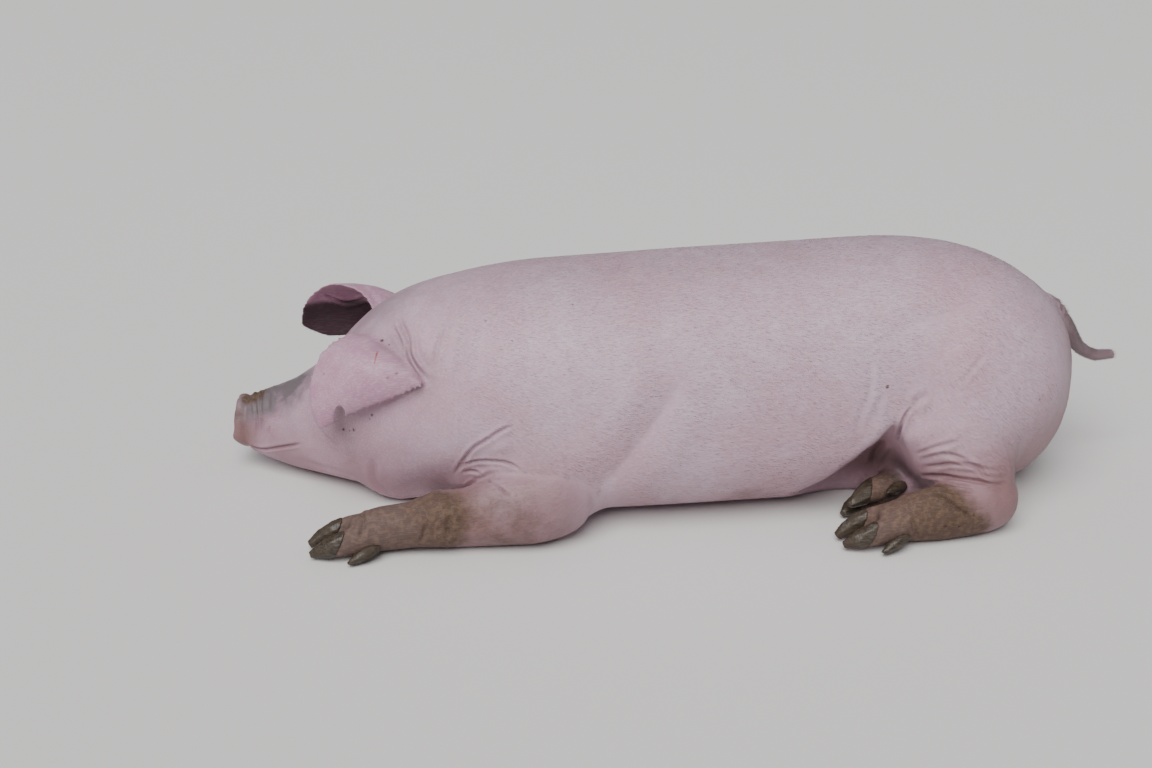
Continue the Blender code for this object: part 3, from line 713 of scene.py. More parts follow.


# -------- markings and painted shade as masks
# Blotches of each mask: a place or a path, in whole millimetres, its reach and its strength
BLOTCHES = {"soil": [
    ([(-620, -185, 30), (-520, -190, 40)], 0.095, 1.6), ((-450, -195, 50), 0.098, 0.95),
    ((-350, -215, 50), 0.11, 0.45), ((-560, 270, 30), 0.12, 1.2), ((-440, 240, 30), 0.12, 0.7),
    ([(200, -275, 35), (300, -265, 45)], 0.085, 1.7), ((350, -265, 20), 0.085, 0.9),
    ((230, -180, 40), 0.09, 1.3), ((-738, 112, 85), 0.04, 0.8), ((-725, 82, 105), 0.026, 0.75),
    ((-695, 110, 128), 0.038, 0.8), ((-556, -45, 78), 0.045, 0.3), ((60, -170, 10), 0.12, 0.35),
    ((-100, -180, 10), 0.12, 0.35),
], "grey": [
    # grey soil and painted shade: on the snout's top and forehead, round the ears, along the top
    # of the back and by the tail
    ([(-690, 92, 132), (-640, 75, 160)], 0.066, 1.4),
    ([(-640, 85, 160), (-580, 70, 210), (-530, 60, 262), (-490, 45, 300)], 0.11, 0.48),
    ([(-640, -5, 150), (-580, -35, 130)], 0.06, 0.3),
    ([(-500, -60, 280), (-450, -100, 240)], 0.045, 0.3),
    ([(-400, 20, 360), (-100, 0, 385), (250, 0, 390), (450, 0, 370), (560, 0, 300)], 0.15, 0.2),
    ([(600, -20, 300), (660, -8, 200), (740, 20, 180)], 0.05, 0.6),
], "dusky": [
    # painted shade: under the head, snout and belly, low down on the legs and sides, and on the
    # rump's rear edge
    ([(-660, 50, 60), (-590, 0, 70), (-520, -50, 80)], 0.11, 0.28),
    ([(-250, -190, 20), (0, -190, 15), (230, -170, 30)], 0.11, 0.35),
    ([(600, -60, 220), (590, -90, 120), (540, -160, 60)], 0.13, 0.85),
    ((-310, -230, 40), 0.17, 0.95), ((-400, -200, 60), 0.12, 1.0),
    ((430, -245, 60), 0.16, 1.0), ((330, -255, 60), 0.13, 1.0), ((-520, -30, 30), 0.12, 0.55),
    ((-640, 40, 35), 0.11, 0.6), ((-300, 250, 30), 0.14, 0.8), ((50, -190, 20), 0.13, 0.45),
    ((-722, 100, 70), 0.07, 1.3), ((260, -130, 80), 0.09, 0.8), ((520, -150, 60), 0.2, 0.75),
    ((450, 180, 30), 0.16, 0.6), ((-420, -110, 60), 0.08, 0.45), ((580, -80, 180), 0.12, 0.45),
    ((690, -5, 210), 0.1, 0.65), ((-700, 70, 90), 0.045, 0.55),
], "shady": [      # hollows where no light comes: under the flank
    ((292, -158, 76), 0.046, 0.7), ((262, -135, 70), 0.05, 0.4),
]}
BLOTCH_EDGE = 0.85         # the share of its reach over which a blotch dies out
FLUSHED = {"ear": 1.0, "snout": 0.8, "lower_jaw": 0.5, "head": 0.35, "neck": 0.15,
           "tail": 0.15}


def blotches(surface, places):
    mask = np.zeros(surface.count)
    for place, reach, strength in places:
        path = mm(*place) if isinstance(place, list) else short_line(*mm(place), (1, 0, 0))
        away, _ = along_path(surface.points, path)
        mask = np.maximum(mask, strength * ramp(reach - away, 0.0, BLOTCH_EDGE * reach))
    return surface.spread(mask, 4)


def shade_inside_ears(surface, nodes):
    """Painted shade on the right ear's inner side; its top is rolled over and hides it."""
    right = (nodes == NODES.index("ear_right")) * ramp(
        surface.normals @ np.array((-0.45, -0.80, -0.40)), 0.35, 0.70)
    right *= ramp(0.237 - surface.points[:, 2], -0.006, 0.008)
    return surface.spread(right, 1)


# The dark rim of an eye's opening: its reach past the eyeball, its width, and its soft edge
MARGIN_REACH, MARGIN_WIDTH, MARGIN_EDGE = 0.006, 0.0028, 0.0022


def lid_margins(points, axes):
    """Dark rims round the eyes' openings."""
    mask = np.zeros(len(points))
    for eye in axes.values():
        gap, near, radius, _ = lid_gap(points, eye)
        near = near & (radius < EYE_RADIUS + MARGIN_REACH)
        mask = np.maximum(mask, near * ramp(MARGIN_WIDTH - gap, 0.0, MARGIN_EDGE))
    return mask


def shade_inside_nostrils(points):
    # painted shade in the nostrils' holes
    ahead, aside, above = on_disc(points)
    side, up, tall, wide = NOSTRIL
    hole = np.minimum(*(np.hypot((aside - hand * side) / wide, (above - up) / tall)
                        for hand in (-1, 1)))
    return ramp(1.15 - hole, 0.0, 0.4) * (np.abs(ahead) < 0.03)


def write_mask(mesh, name, values):
    attribute = mesh.attributes.new(name, "FLOAT", "POINT")
    attribute.data.foreach_set("value", np.asarray(values, np.float32))


def marked(skin, paths, axes):
    """Writes the skin's masks into its mesh, and returns them for the coat."""
    surface = Surface(skin)
    nodes = nearest_node(surface.points)
    masks = {name: blotches(surface, places) for name, places in BLOTCHES.items()}
    # painted shade inside the right ear and in the nostrils
    masks["shady"] = np.maximum(masks["shady"], 0.92 * shade_inside_ears(surface, nodes))
    masks["shady"] = np.maximum(masks["shady"], 0.9 * shade_inside_nostrils(surface.points))
    masks["flush"] = surface.spread(share_of(nodes, FLUSHED), 10)
    # painted shade along the folds, with the dark rims of the lids
    masks["fold"] = np.maximum(fold_shade_mask(surface.points, paths),
                               0.85 * lid_margins(surface.points, axes))
    for name, values in masks.items():
        write_mask(skin.data, name, values)
    return surface, nodes, masks


# -------- coat
# Tiles of the coat's unwrap: a point on the axis, the axis, how the hair lies, and the nodes
TILES = {
    "trunk": ((0.0, 0.0, 0.17), (1, 0, 0), (1, 0, -0.25), ("trunk", "chest")),
    "head": ((-0.5, 0.03, 0.14), (-0.96, 0.262, -0.15), (1, -0.2, -0.15),
             ("neck", "head", "lower_jaw", "snout")),
    "rump": ((0.4, -0.01, 0.17), (1, 0, 0), (1, 0, -0.8),
             ("rump", "thigh_left", "thigh_right", "hind_left_shank")),
    "fore_left": ((-0.43, -0.18, 0.045), (-1, 0, 0), (-1, 0, -0.4),
                  ("forearm_left", "fore_cannon_left", "foot_fore_left")),
    "fore_right": ((-0.43, 0.22, 0.045), (-0.97, 0.24, 0), (-1, 0.2, -0.4),
                   ("forearm_right", "fore_cannon_right", "foot_fore_right")),
    "hind_left": ((0.33, -0.245, 0.045), (-1, 0, 0), (-1, 0, -0.5),
                  ("hind_left_cannon", "foot_hind_left")),
    "hind_right": ((0.33, -0.13, 0.045), (-0.98, -0.2, 0), (-1, 0, -0.5),
                   ("hind_right_cannon", "foot_hind_right")),
    "ear_left": ((-0.54, -0.05, 0.215), (-0.55, -0.3, -0.78), (-0.55, -0.3, -0.78),
                 ("ear_left",)),
    "ear_right": ((-0.52, 0.18, 0.22), (-0.6, 0.62, -0.5), (-0.6, 0.62, -0.5),
                  ("ear_right",)),
    "tail": ((0.64, 0.0, 0.19), (1, 0, 0), (1, 0.1, -0.4), ("tail",)),
}
# Pieces of the coat: tiles, tufts, and how far the tufts stand off the skin in degrees
COAT = {
    "coat_trunk_left": (("trunk",), 48000, 4),
    "coat_trunk_right": (("trunk",), 48000, 4),
    "coat_rump": (("rump",), 48000, 4),
    "coat_head": (("head",), 48000, 5),
    "coat_legs": (("fore_left", "fore_right", "hind_left", "hind_right"), 36000, 6),
    "coat_ears": (("ear_left", "ear_right"), 24000, 5),
    "coat_tail": (("tail",), 5000, 10),
}
TUFT_LENGTH, TUFT_WIDTH = 0.0125, 0.00038      # on the trunk
TUFT_SIZES = {"snout": 0.22, "lower_jaw": 0.45, "head": 0.5, "neck": 0.85, "ear": 0.45,
              "tail": 0.9, "forearm": 0.75, "fore_cannon": 0.55, "hind_shank": 0.85,
              "hind_cannon": 0.6, "foot_fore": 0.38, "foot_hind": 0.38}
LIE_WAVE = ((9.0, 4.0, 13.0), (-7.0, 11.0, 5.0), (3.0, -8.0, 10.0))     # turns of the hair
LIE_CHANCE, LIE_SWAY = 0.12, 0.12     # how far the hair strays by chance and by the waves
UNDERSIDE, UNDERSIDE_SHARE = 0.004, 0.05      # below this height grows a small share of tufts
ROOT_DEPTH = 0.0005        # how far a tuft's root lies under the skin
PATCH = 0.003              # a tuft's share of the unwrap
TILE_RIM = 0.02            # the empty rim of a tile
LASHES = ((1, 60, 0.0100), (-1, 24, 0.0050))     # over or under the eye, how many, length
LASH_GAP, LASH_WIDTH = 0.0008, 0.00011           # from the lid's edge, and half a lash's width


def tile_layout(tiles):
    """A square grid of places in the unit square, one for each tile."""
    across = math.ceil(math.sqrt(len(tiles)))
    return {tile: (i % across / across, i // across / across, 1 / across)
            for i, tile in enumerate(tiles)}


def unwrap(points, tile, layout):
    """Lays points round a tile's axis out flat: along the axis, and round it."""
    place, axis = (np.array(v, float) for v in TILES[tile][:2])
    axis /= np.linalg.norm(axis)
    side = np.cross(axis, (0, 0, 1.0))
    side /= np.linalg.norm(side)
    up = np.cross(side, axis)
    local = points - place
    along = local @ axis
    along = (along - along.min()) / (along.max() - along.min())
    round_axis = np.arctan2(local @ up, local @ side) / (2 * math.pi) + 0.5
    left, low, size = layout[tile]
    flat = np.stack([along, round_axis], 1) * (1 - 2 * TILE_RIM) + TILE_RIM
    return np.array([left, low]) + size * flat


def tufts(name, roots, normals, heading, across, reach, half, uv, masks, shade):
    """A mesh of thin four-sided tufts, each a patch of the skin's unwrap at its root."""
    count = len(roots)
    root = roots - normals * ROOT_DEPTH
    lie = laid_flat(heading, normals)
    ends = [root + across * half, root - across * half,
            root + normals * half * 0.8 + lie * half, root + heading * reach]
    points = np.stack(ends, 1)
    points[:, :, 2] = np.maximum(points[:, :, 2], FLOOR_GAP)
    start = 4 * np.arange(count)[:, None]
    sides = np.array([0, 2, 1, 0, 1, 3, 1, 2, 3, 2, 0, 3])
    loops = (start + sides).ravel()
    mesh = bpy.data.meshes.new(name)
    mesh.vertices.add(4 * count)
    mesh.vertices.foreach_set("co", points.astype(np.float32).ravel())
    mesh.loops.add(len(loops))
    mesh.loops.foreach_set("vertex_index", loops.astype(np.int32))
    mesh.polygons.add(len(loops) // 3)
    mesh.polygons.foreach_set("loop_start", np.arange(0, len(loops), 3, dtype=np.int32))
    mesh.update(calc_edges=True)
    spots = PATCH * np.array([[-0.5, -0.5], [0.5, -0.5], [0.0, 0.0], [0.0, 0.5]])
    flat = (uv[:, None, :] + spots[None]).reshape(-1, 2)
    layer = mesh.uv_layers.new(name="OFBake")
    layer.data.foreach_set("uv", np.clip(flat[loops], 0, 1).astype(np.float32).ravel())
    for mask, values in masks.items():
        write_mask(mesh, mask, np.repeat(values, 4))
    write_mask(mesh, "shade", np.repeat(shade, 4))
    return new_object(name, mesh)


def make_lashes(surface, masks, axes):
    """Pale lashes along the upper and lower lids."""
    chance = np.random.default_rng(99)
    rows = []
    length, over, under = EYE_OPENING
    for middle, out, front, up in axes.values():
        for hand, count, long in LASHES:
            u = np.linspace(-0.92, 0.92, count) + 0.02 * chance.standard_normal(count)
            v = lid_height(u, over if hand > 0 else -under) + hand * LASH_GAP
            flat = np.outer(u * length, front) + np.outer(v, up)
            rise = np.sqrt(np.maximum((EYE_RADIUS + LID + LASH_GAP) ** 2
                                      - (flat**2).sum(axis=1), 0.0))
            root = middle + flat + np.outer(rise, out)
            heading = (np.outer(hand * chance.uniform(0.5, 1.0, count), up)
                       + np.outer(0.5 * u, front) + 0.9 * out)
            heading /= length_of(heading)[:, None]
            rows.append((root, np.tile(out, (count, 1)), heading, np.tile(front, (count, 1)),
                         long * chance.uniform(0.7, 1.1, (count, 1))))
    root, normals, heading, across, reach = (np.concatenate(part) for part in zip(*rows))
    none = {mask: np.zeros(len(root)) for mask in masks}
    return tufts("coat_lashes", root, normals, heading, across, reach,
                 np.full((len(root), 1), LASH_WIDTH),
                 unwrap(root, "head", tile_layout(["head"])), none, np.ones(len(root)))


def on_faces(shares, values):
    return np.einsum("nk,nkd->nd", shares, values)


def laid_flat(ways, normals):
    """What is left of the ways along the skin."""
    return ways - normals * np.einsum("nd,nd->n", ways, normals)[:, None]


def make_coat(name, seed, skin, triangles, face_nodes, masks, tuft_sizes):
    """One piece of the coat: thin four-sided tufts that lie along the skin."""
    tiles, count, stand = COAT[name]
    chance = np.random.default_rng(seed)
    members = {tile: indices(TILES[tile][3]) for tile in tiles}
    corners = skin.points[triangles]
    middles = corners.mean(axis=1)
    mine = np.isin(face_nodes, sum(members.values(), []))
    if name.endswith("_left"):
        mine &= middles[:, 1] < 0.0
    if name.endswith("_right"):
        mine &= middles[:, 1] >= 0.0
    normal = np.cross(corners[:, 1] - corners[:, 0], corners[:, 2] - corners[:, 0])
    area = length_of(normal) / 2
    weight = area * mine * np.where(middles[:, 2] < UNDERSIDE, UNDERSIDE_SHARE, 1.0)
    total = np.cumsum(weight)
    picks = np.searchsorted(total, (np.arange(count) + chance.random(count)) / count * total[-1])
    picks = np.minimum(picks, len(triangles) - 1)
    first, second = np.sqrt(chance.random(count)), chance.random(count)
    shares = np.stack([1 - first, first * (1 - second), first * second], 1)
    tri = triangles[picks]
    roots = on_faces(shares, skin.points[tri])
    normals = on_faces(shares, skin.normals[tri])
    normals /= length_of(normals)[:, None]

    lie, uv = np.zeros((count, 3)), np.zeros((count, 2))
    sizes = tuft_sizes[tri[:, 0]]
    layout = tile_layout(tiles)
    for tile in tiles:
        here = np.isin(face_nodes[picks], members[tile])
        lie[here] = TILES[tile][2]
        uv[here] = unwrap(roots[here], tile, layout)
    lie += LIE_CHANCE * chance.standard_normal((count, 3))
    lie += LIE_SWAY * np.sin(roots @ np.array(LIE_WAVE) + np.array([0.3, 1.1, 2.0]))
    lie = laid_flat(lie, normals)
    lie /= np.maximum(length_of(lie), 1e-6)[:, None]
    across = np.cross(normals, lie)
    lift = np.radians(stand * chance.uniform(0.4, 1.5, count))[:, None]
    heading = lie * np.cos(lift) + normals * np.sin(lift)
    reach = (TUFT_LENGTH * sizes * chance.uniform(0.65, 1.2, count))[:, None]
    half = (0.5 * TUFT_WIDTH * np.sqrt(sizes) * chance.uniform(0.8, 1.2, count))[:, None]
    picked = {mask: values[tri[:, 0]] for mask, values in masks.items()}
    return tufts(name, roots, normals, heading, across, reach, half, uv, picked,
                 chance.random(count))


# -------- eyes and horn
def make_eye(name, axes):
    middle, out, _, up = axes
    turn = Matrix((tuple(np.cross(up, out)), tuple(up), tuple(out))).transposed().to_4x4()
    bm = bmesh.new()
    bmesh.ops.create_uvsphere(bm, u_segments=64, v_segments=48, radius=EYE_RADIUS)
    for vert in bm.verts:      # the clear front stands out a little
        share = max(0.0, vert.co.z / EYE_RADIUS - 0.72) / 0.28
        vert.co.z += 0.0009 * share * share * (3 - 2 * share)
    bm.transform(Matrix.Translation(middle) @ turn)
    obj = new_object(name.replace("eye", "eyeball"), mesh_from(bm, name))
    obj.data.shade_smooth()
    return obj, middle, turn


FOOT_HEADING = {"fore_left": (-1.0, 0.0, 0.0), "fore_right": (-0.966, 0.259, 0.0),
                "hind_left": (-0.999, -0.052, 0.0), "hind_right": (-0.985, -0.174, 0.0)}
HORN_GROWTH = 0.0002
HORN_RING, RING_HEIGHT = 0.0034, 0.00016       # from one growth ring to the next, and its height
HORN_WEAR, WEAR_HEIGHT = (410.0, 290.0, 350.0), 0.00012


def make_horn(name):
    """A claw: the solid's form without facets, with growth rings across it."""
    obj = new_object(name.replace("claw", "horn"), mesh_from(node_copy(name, HORN_GROWTH), name))
    remeshed(obj, HORN_VOXEL)
    rounded(obj, 2)
    applied(obj)
    surface = Surface(obj)
    foot = "_".join(name.split("_")[1:3])
    along = surface.points @ np.array(FOOT_HEADING[foot])
    rings = np.sin(along / HORN_RING * 2 * math.pi + 1.3 * np.sin(surface.points[:, 2] * 300))
    wear = np.sin(surface.points @ np.array(HORN_WEAR))
    surface.move(RING_HEIGHT * rings + WEAR_HEIGHT * wear)
    surface.points[:, 2] = np.maximum(surface.points[:, 2], FLOOR_GAP)
    surface.update()
    obj.data.shade_smooth()
    return obj


# -------- shader helpers
class Tree:
    """Short forms for placing and joining shader nodes."""

    def __init__(self, tree):
        self.tree = tree
        self.step = 0

    def give(self, node, inputs):
        """Joins sockets to a node's inputs, and sets the inputs that get plain values."""
        for name, value in inputs.items():
            if isinstance(value, bpy.types.NodeSocket):
                self.tree.links.new(value, node.inputs[name])
            else:
                node.inputs[name].default_value = value

    def add(self, kind, inputs=None, **settings):
        node = self.tree.nodes.new("ShaderNode" + kind)
        self.step += 1
        node.location = (190 * (self.step // 4), -230 * (self.step % 4))
        for name, value in settings.items():
            setattr(node, name, value)
        self.give(node, inputs or {})
        return node

    def place(self):
        return self.add("TexCoord").outputs["Object"]

    def noise(self, vector, scale, detail=3.0, roughness=0.55, out="Fac"):
        return self.add("TexNoise", {"Vector": vector, "Scale": scale, "Detail": detail,
                                     "Roughness": roughness}).outputs[out]

    def fit(self, value, low, high, to_low=0.0, to_high=1.0):
        return self.add("MapRange", {"Value": value, "From Min": low, "From Max": high,
                                     "To Min": to_low, "To Max": to_high},
                        interpolation_type="SMOOTHSTEP").outputs["Result"]

    def maths(self, operation, first, second=0.0):
        return self.add("Math", {0: first, 1: second}, operation=operation).outputs[0]

    def times(self, first, second):
        return self.maths("MULTIPLY", first, second)

    def length(self, x, y):
        return self.maths("SQRT", self.maths("ADD", self.times(x, x), self.times(y, y)))

    def vector(self, operation, inputs, out=0):
        return self.add("VectorMath", inputs, operation=operation).outputs[out]

    def mix(self, share, first, second):
        return self.add("Mix", {0: share, 6: first, 7: second}, data_type="RGBA").outputs[2]


def new_group(name, inputs, outputs):
    group = bpy.data.node_groups.new(name, "ShaderNodeTree")
    for label, default in inputs.items():
        group.interface.new_socket(name=label, in_out="INPUT",
                                   socket_type="NodeSocketFloat").default_value = default
    for label, kind in outputs.items():
        group.interface.new_socket(name=label, in_out="OUTPUT", socket_type="NodeSocket" + kind)
    tree = Tree(group)
    return group, tree, tree.tree.nodes.new("NodeGroupInput").outputs


def group_output(tree, values):
    tree.give(tree.tree.nodes.new("NodeGroupOutput"), values)


def new_material(name, values):
    material = bpy.data.materials.new(name)
    material.use_nodes = True
    tree, shader = Tree(material.node_tree), material.node_tree.nodes["Principled BSDF"]
    tree.give(shader, values)
    return material, tree, shader


# Small marks on the skin: place in whole millimetres, radius, how dark
MARKS = [
    ((234, -196, 236), 0.0042, 1.0), ((-507, -40, 275), 0.0042, 1.0),
    ((-497, -51, 271), 0.0034, 0.8), ((-492, -105, 250), 0.004, 0.6),
    ((-505, -104, 244), 0.0034, 0.45), ((-594, -60, 234), 0.0028, 0.5),
    ((-565, -37, 129), 0.0036, 1.0), ((-557, -46, 131), 0.0026, 0.7),
    ((-551, -52, 135), 0.0036, 0.9), ((-525, -71, 168), 0.0032, 0.9),
    ((-527, -68, 161), 0.003, 0.7), ((-485, -80, 65), 0.0034, 0.6),
    ((-327, -125, 304), 0.0026, 0.6), ((-361, -89, 322), 0.0028, 0.6),
    ((-233, -97, 346), 0.003, 0.6), ((320, -281, 38), 0.0042, 0.9), ((344, -279, 35), 0.0036, 0.9),
    ((366, -277, 53), 0.0034, 0.8), ((484, -201, 205), 0.0032, 0.5),
]
SCRATCH = ((-0.516, -0.069, 0.2735), (-0.523, -0.089, 0.2605))      # its ends
SCRATCH_SPOTS = (22, 0.0019, 0.9)     # how many, radius, strength
RAGGED = 0.0040                       # how far the edges of marks are frayed
RED_PATCH = ((-0.612, 0.004, 0.110), 0.022, 0.55)

SKIN_PALE = (0.565, 0.420, 0.515, 1)
SKIN_PINK = (0.520, 0.325, 0.400, 1)
SKIN_FLUSH = (0.460, 0.235, 0.340, 1)
# colours of painted shade: in the folds, with the grey soil, low down on the body, and in hollows
SKIN_FOLD_SHADE = (0.130, 0.055, 0.055, 1)
SKIN_GREY = (0.140, 0.114, 0.126, 1)
SKIN_SOFT_SHADE = (0.255, 0.140, 0.145, 1)
SKIN_SHADY = (0.030, 0.018, 0.021, 1)
SOIL_COLOUR = (0.080, 0.048, 0.029, 1)
SOIL_LIGHT = (0.128, 0.078, 0.046, 1)
SCAB = (0.055, 0.022, 0.018, 1)
RED = (0.330, 0.040, 0.035, 1)
HAIR = (0.800, 0.750, 0.760, 1)
HAIR_DULL = (0.760, 0.640, 0.640, 1)
HAIR_WHITE = (0.880, 0.810, 0.820, 1)
HORN_DARK = (0.024, 0.018, 0.012, 1)
HORN_BROWN = (0.070, 0.051, 0.034, 1)
HORN_SOILED = (0.056, 0.038, 0.025, 1)
IRIS_DARK = (0.030, 0.014, 0.007, 1)
IRIS_LIGHT = (0.075, 0.036, 0.016, 1)
IRIS_RIM = (0.020, 0.010, 0.006, 1)
PUPIL = (0.004, 0.003, 0.003, 1)
EYE_WHITE = (0.260, 0.170, 0.150, 1)
MASKS = ("Soil", "Grey", "Dusky", "Shady", "Flush", "Fold")


def spots_of(tree, place, spots):
    """A mask that is high at each of the spots: (middle, radius, strength)."""
    found = None
    for middle, radius, strength in spots:
        away = tree.vector("DISTANCE", {0: place, 1: middle}, "Value")
        spot = tree.fit(away, radius, 0.35 * radius, 0.0, strength)
        found = spot if found is None else tree.maths("MAXIMUM", found, spot)
    return found


def scratch_spots():
    one, two = (Vector(end) for end in SCRATCH)
    count, radius, strength = SCRATCH_SPOTS
    return [(tuple(one.lerp(two, i / (count - 1))), radius, strength) for i in range(count)]


def markings_group():
    """Colours of the skin from its masks, painted shade among them, shared by skin and coat."""
    group, tree, given = new_group("pig_markings", {mask: 0.0 for mask in MASKS},
                                   {"Color": "Color", "Soiled": "Float", "Dark": "Float"})
    soil, grey, dusky, shady, flush, fold = (given[mask] for mask in MASKS)
    place, times, mix, fit = tree.place(), tree.times, tree.mix, tree.fit
    broad = fit(tree.noise(place, 5.0), 0.35, 0.68)
    mottle = fit(tree.noise(place, 38.0, 4.0, 0.6), 0.36, 0.66)
    tone = mix(times(mottle, 0.45), mix(broad, SKIN_PALE, SKIN_PINK), SKIN_PINK)
    tone = mix(times(flush, fit(mottle, -0.6, 1.0, 0.45, 1.0)), tone, SKIN_FLUSH)
    red = times(spots_of(tree, place, [RED_PATCH]), fit(mottle, -0.3, 0.8, 0.3, 1.0))
    tone = mix(red, tone, SKIN_FLUSH)
    # painted shade: soft shade low down, grey soil with shade, and shade darkening the folds
    dusky = times(dusky, fit(tree.noise(place, 11.0, 4.0, 0.6), 0.25, 0.60, 0.78, 1.0))
    grey = times(grey, fit(tree.noise(place, 27.0, 4.0, 0.6), 0.34, 0.62, 0.50, 1.0))
    tone = mix(grey, mix(dusky, tone, SKIN_SOFT_SHADE), SKIN_GREY)
    tone = mix(times(fold, 0.75), tone, SKIN_FOLD_SHADE)
    spread = tree.maths("ADD", soil, times(tree.noise(place, 16.0, 6.0, 0.68), 0.9))
    soiled = times(fit(spread, 0.58, 1.15), fit(soil, 0.02, 0.30))
    crumbs = fit(tree.noise(place, 120.0), 0.42, 0.66)
    tone = mix(times(soiled, 0.92), tone, mix(crumbs, SOIL_COLOUR, SOIL_LIGHT))
    tone = mix(shady, tone, SKIN_SHADY)
    waver = tree.noise(place, 420.0, 2.0, out="Color")
    frayed = tree.vector("ADD", {0: place, 1: tree.vector("SCALE", {0: waver, "Scale": RAGGED})})
    frayed = tree.vector("SUBTRACT", {0: frayed, 1: (RAGGED / 2,) * 3})
    tone = mix(spots_of(tree, frayed, scratch_spots()), tone, RED)
    scabs = [(*mm(middle), radius, strength) for middle, radius, strength in MARKS]
    tone = mix(spots_of(tree, frayed, scabs), tone, SCAB)
    # the painted shade and the soil together
    dark = tree.maths("MAXIMUM", tree.maths("MAXIMUM", dusky, grey),
                      tree.maths("MAXIMUM", soiled, shady))
    group_output(tree, {"Color": tone, "Soiled": soiled, "Dark": dark})
    return group


def hair_lie_group():
    """Fine streaks along the coat's lie: a height for the bump, and where hair shows pale."""
    group, tree, given = new_group("coat_lie", {"Fineness": 1.0},
                                   {"Height": "Float", "Hair": "Float"})
    place = tree.place()
    turned = tree.add("Mapping", {"Vector": place, "Rotation": (0, 0.24, 0),
                                  "Scale": (60, 620, 620)}).outputs["Vector"]
    streaks = tree.noise(turned, 1.0, 2.0, 0.5)
    pores = tree.add("TexVoronoi", {"Vector": place, "Scale": 260.0}).outputs["Distance"]
    height = tree.maths("ADD", tree.times(streaks, 0.8),
                        tree.times(tree.fit(pores, 0.0, 0.45), 0.35))
    group_output(tree, {"Height": tree.times(height, given["Fineness"]),
                        "Hair": tree.fit(streaks, 0.46, 0.66)})
    return group


def markings_of(tree, markings):
    """The outputs of the shared markings, given the piece's own masks."""
    masks = {label: tree.add("Attribute", attribute_name=label.lower()).outputs["Fac"]
             for label in MASKS}
    return tree.add("Group", masks, node_tree=markings).outputs


def skin_material(markings, lie):
    material, tree, shader = new_material("pig_skin", {
        "Roughness": 0.55, "Subsurface Weight": 0.10, "Subsurface Scale": 0.006,
        "Specular IOR Level": 0.42})
    marks = markings_of(tree, markings)
    hair = tree.add("Group", {"Fineness": 1.0}, node_tree=lie).outputs
    clean = tree.times(tree.times(hair["Hair"], 0.20),
                       tree.fit(marks["Dark"], 0.0, 0.6, 1.0, 0.15))
    bump = tree.add("Bump", {"Height": hair["Height"], "Strength": 0.30, "Distance": 0.0004})
    tree.give(shader, {"Base Color": tree.mix(clean, marks["Color"], HAIR),
                       "Roughness": tree.fit(marks["Soiled"], 0.0, 1.0, 0.52, 0.85),
                       "Normal": bump.outputs["Normal"]})
    return material


def coat_material(markings):
    material, tree, shader = new_material("pig_hair", {
        "Roughness": 0.42, "Specular IOR Level": 0.5})
    marks = markings_of(tree, markings)
    shade = tree.add("Attribute", attribute_name="shade").outputs["Fac"]
    # the hair takes on the skin's colour, painted shade and soil included, where it is dark
    tint = tree.fit(marks["Dark"], 0.0, 0.6, 0.66, 0.93)
    tree.give(shader, {"Base Color": tree.mix(tint, tree.mix(shade, HAIR_DULL, HAIR_WHITE),
                                              marks["Color"])})
    return material


def horn_material():
    material, tree, shader = new_material("horn", {})
    place = tree.place()
    streak = tree.add("Mapping", {"Vector": place, "Scale": (60, 420, 420)}).outputs["Vector"]
    grain = tree.noise(streak, 1.0)
    blotch = tree.fit(tree.noise(place, 45.0, 4.0), 0.40, 0.62)
    colour = tree.mix(tree.fit(grain, 0.35, 0.65), HORN_DARK, HORN_BROWN)
    bump = tree.add("Bump", {"Height": grain, "Strength": 0.4, "Distance": 0.0005})
    tree.give(shader, {"Base Color": tree.mix(tree.times(blotch, 0.7), colour, HORN_SOILED),
                       "Roughness": tree.fit(blotch, 0.0, 1.0, 0.42, 0.75),
                       "Normal": bump.outputs["Normal"]})
    return material


def eye_material(name, middle, turn):
    """White of the eye, a brown iris and a wide pupil, round the way the eye looks."""
    material, tree, shader = new_material(name, {
        "Roughness": 0.10, "Coat Weight": 1.0, "Coat Roughness": 0.03})
    place = tree.place()
    local = tree.add("Mapping", {"Vector": place, "Location": tuple(middle),
                                 "Rotation": turn.to_euler("XYZ")},
                     vector_type="TEXTURE").outputs["Vector"]
    split = tree.add("SeparateXYZ", {"Vector": local}).outputs
    away = tree.length(split["X"], split["Y"])
    pupil = tree.length(split["X"], tree.times(split["Y"], 1.45))
    iris = tree.mix(tree.noise(place, 900.0, 2.0), IRIS_DARK, IRIS_LIGHT)
    colour = tree.mix(tree.fit(away, 0.0090, 0.0097), iris, EYE_WHITE)
    rim = tree.times(tree.fit(away, 0.0080, 0.0088), tree.fit(away, 0.0098, 0.0091))
    colour = tree.mix(rim, colour, IRIS_RIM)
    colour = tree.mix(tree.fit(pupil, 0.0040, 0.0035), colour, PUPIL)
    tree.give(shader, {"Base Color": colour})
    return material


# -------- stage
# Lamps: kind, place, size, power, colour
LAMPS = {
    "key": ("SUN", (-1.2, -1.9, 3.2), 0.8, 3.5, (1.0, 0.985, 0.97)),
    "top": ("AREA", (0.2, 0.4, 3.2), 2.8, 10, (0.97, 0.98, 1.0)),
}
LAMPS_AIM = (0, 0, 0.15)
FLOOR_HALF = 20.0
FLOOR_COLOUR = (0.74, 0.73, 0.72, 1)
SKY_COLOUR, SKY_STRENGTH = (0.86, 0.88, 0.92, 1), 0.22


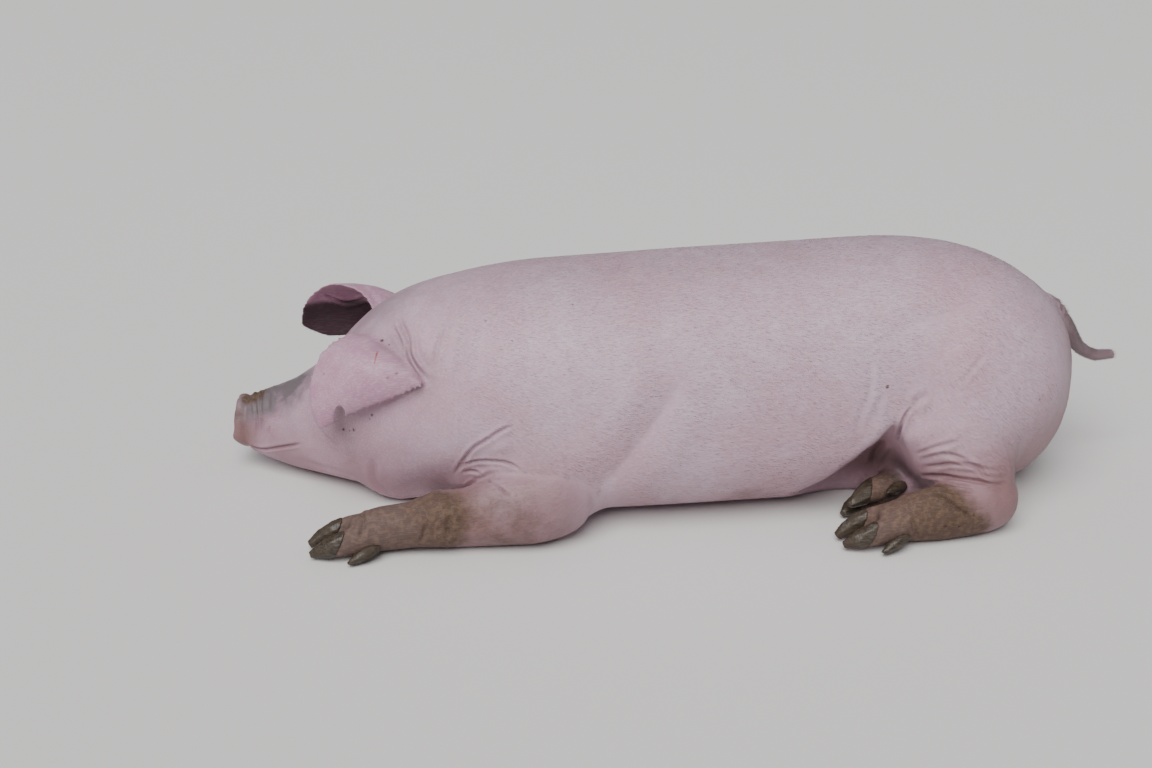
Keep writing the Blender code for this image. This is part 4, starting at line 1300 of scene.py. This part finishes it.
def make_stage():
    bm = bmesh.new()
    bmesh.ops.create_grid(bm, x_segments=1, y_segments=1, size=FLOOR_HALF)
    floor = new_object("floor", mesh_from(bm, "floor"))
    material, _, _ = new_material("pale_floor", {"Roughness": 0.85, "Base Color": FLOOR_COLOUR})
    painted(floor, material)
    world = bpy.data.worlds.new("studio")
    bpy.context.scene.world = world
    world.use_nodes = True
    Tree(world.node_tree).give(world.node_tree.nodes["Background"],
                               {"Color": SKY_COLOUR, "Strength": SKY_STRENGTH})
    for name, (kind, place, size, power, colour) in LAMPS.items():
        light = bpy.data.lights.new(name, kind)
        light.energy = power
        light.color = colour
        setattr(light, "angle" if kind == "SUN" else "size", size)
        lamp = new_object(name, light)
        lamp.location = place
        aim = Vector(LAMPS_AIM) - Vector(place)
        lamp.rotation_euler = aim.to_track_quat("-Z", "Y").to_euler()


CAMERA_PLACE = (-0.7419, -2.3492, 1.2944)
CAMERA_TURN = (13, 25, 3)      # its heading, how far it looks down, and its roll, in degrees
CAMERA_LENS, CAMERA_SENSOR = 53.125, 36.0


def make_camera():
    """The camera looks down on the pig's left side, turned a little towards its head."""
    heading, down, roll = (math.radians(angle) for angle in CAMERA_TURN)
    forward = Vector((math.sin(heading) * math.cos(down), math.cos(heading) * math.cos(down),
                      -math.sin(down)))
    level = Vector((math.cos(heading), -math.sin(heading), 0))
    above = level.cross(forward)
    right = level * math.cos(roll) + above * math.sin(roll)
    up = above * math.cos(roll) - level * math.sin(roll)
    data = bpy.data.cameras.new("camera")
    data.sensor_width = CAMERA_SENSOR
    data.lens = CAMERA_LENS
    data.clip_start = 0.05
    camera = new_object("camera", data)
    turn = Matrix((right, up, -forward)).transposed().to_4x4()
    camera.matrix_world = Matrix.Translation(CAMERA_PLACE) @ turn
    bpy.context.scene.camera = camera


# -------- assembly
def make_pig():
    skin, paths, axes = make_skin()
    surface, nodes, masks = marked(skin, paths, axes)
    markings, lie = markings_group(), hair_lie_group()
    painted(skin, skin_material(markings, lie))
    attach(skin, "root")
    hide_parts(*FLESH)

    triangles = fetched(skin.data.polygons, "vertices", 3, np.int32)
    face_nodes = nodes[triangles[:, 0]]
    hair = coat_material(markings)
    sizes = surface.spread(share_of(nodes, TUFT_SIZES, 1.0), 80)
    coats = [make_coat(name, seed, surface, triangles, face_nodes, masks, sizes)
             for seed, name in enumerate(COAT)]
    for coat in [*coats, make_lashes(surface, masks, axes)]:
        painted(coat, hair)
        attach(coat, "root")

    horn = horn_material()
    for name in HORN:
        claw = make_horn(name)
        painted(claw, horn)
        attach(claw, "root")
        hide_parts(name)
    for name in EYES:
        eye, middle, turn = make_eye(name, axes[name])
        painted(eye, eye_material(eye.name, middle, turn))
        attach(eye, "root")
        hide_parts(name)


make_pig()
make_stage()
make_camera()
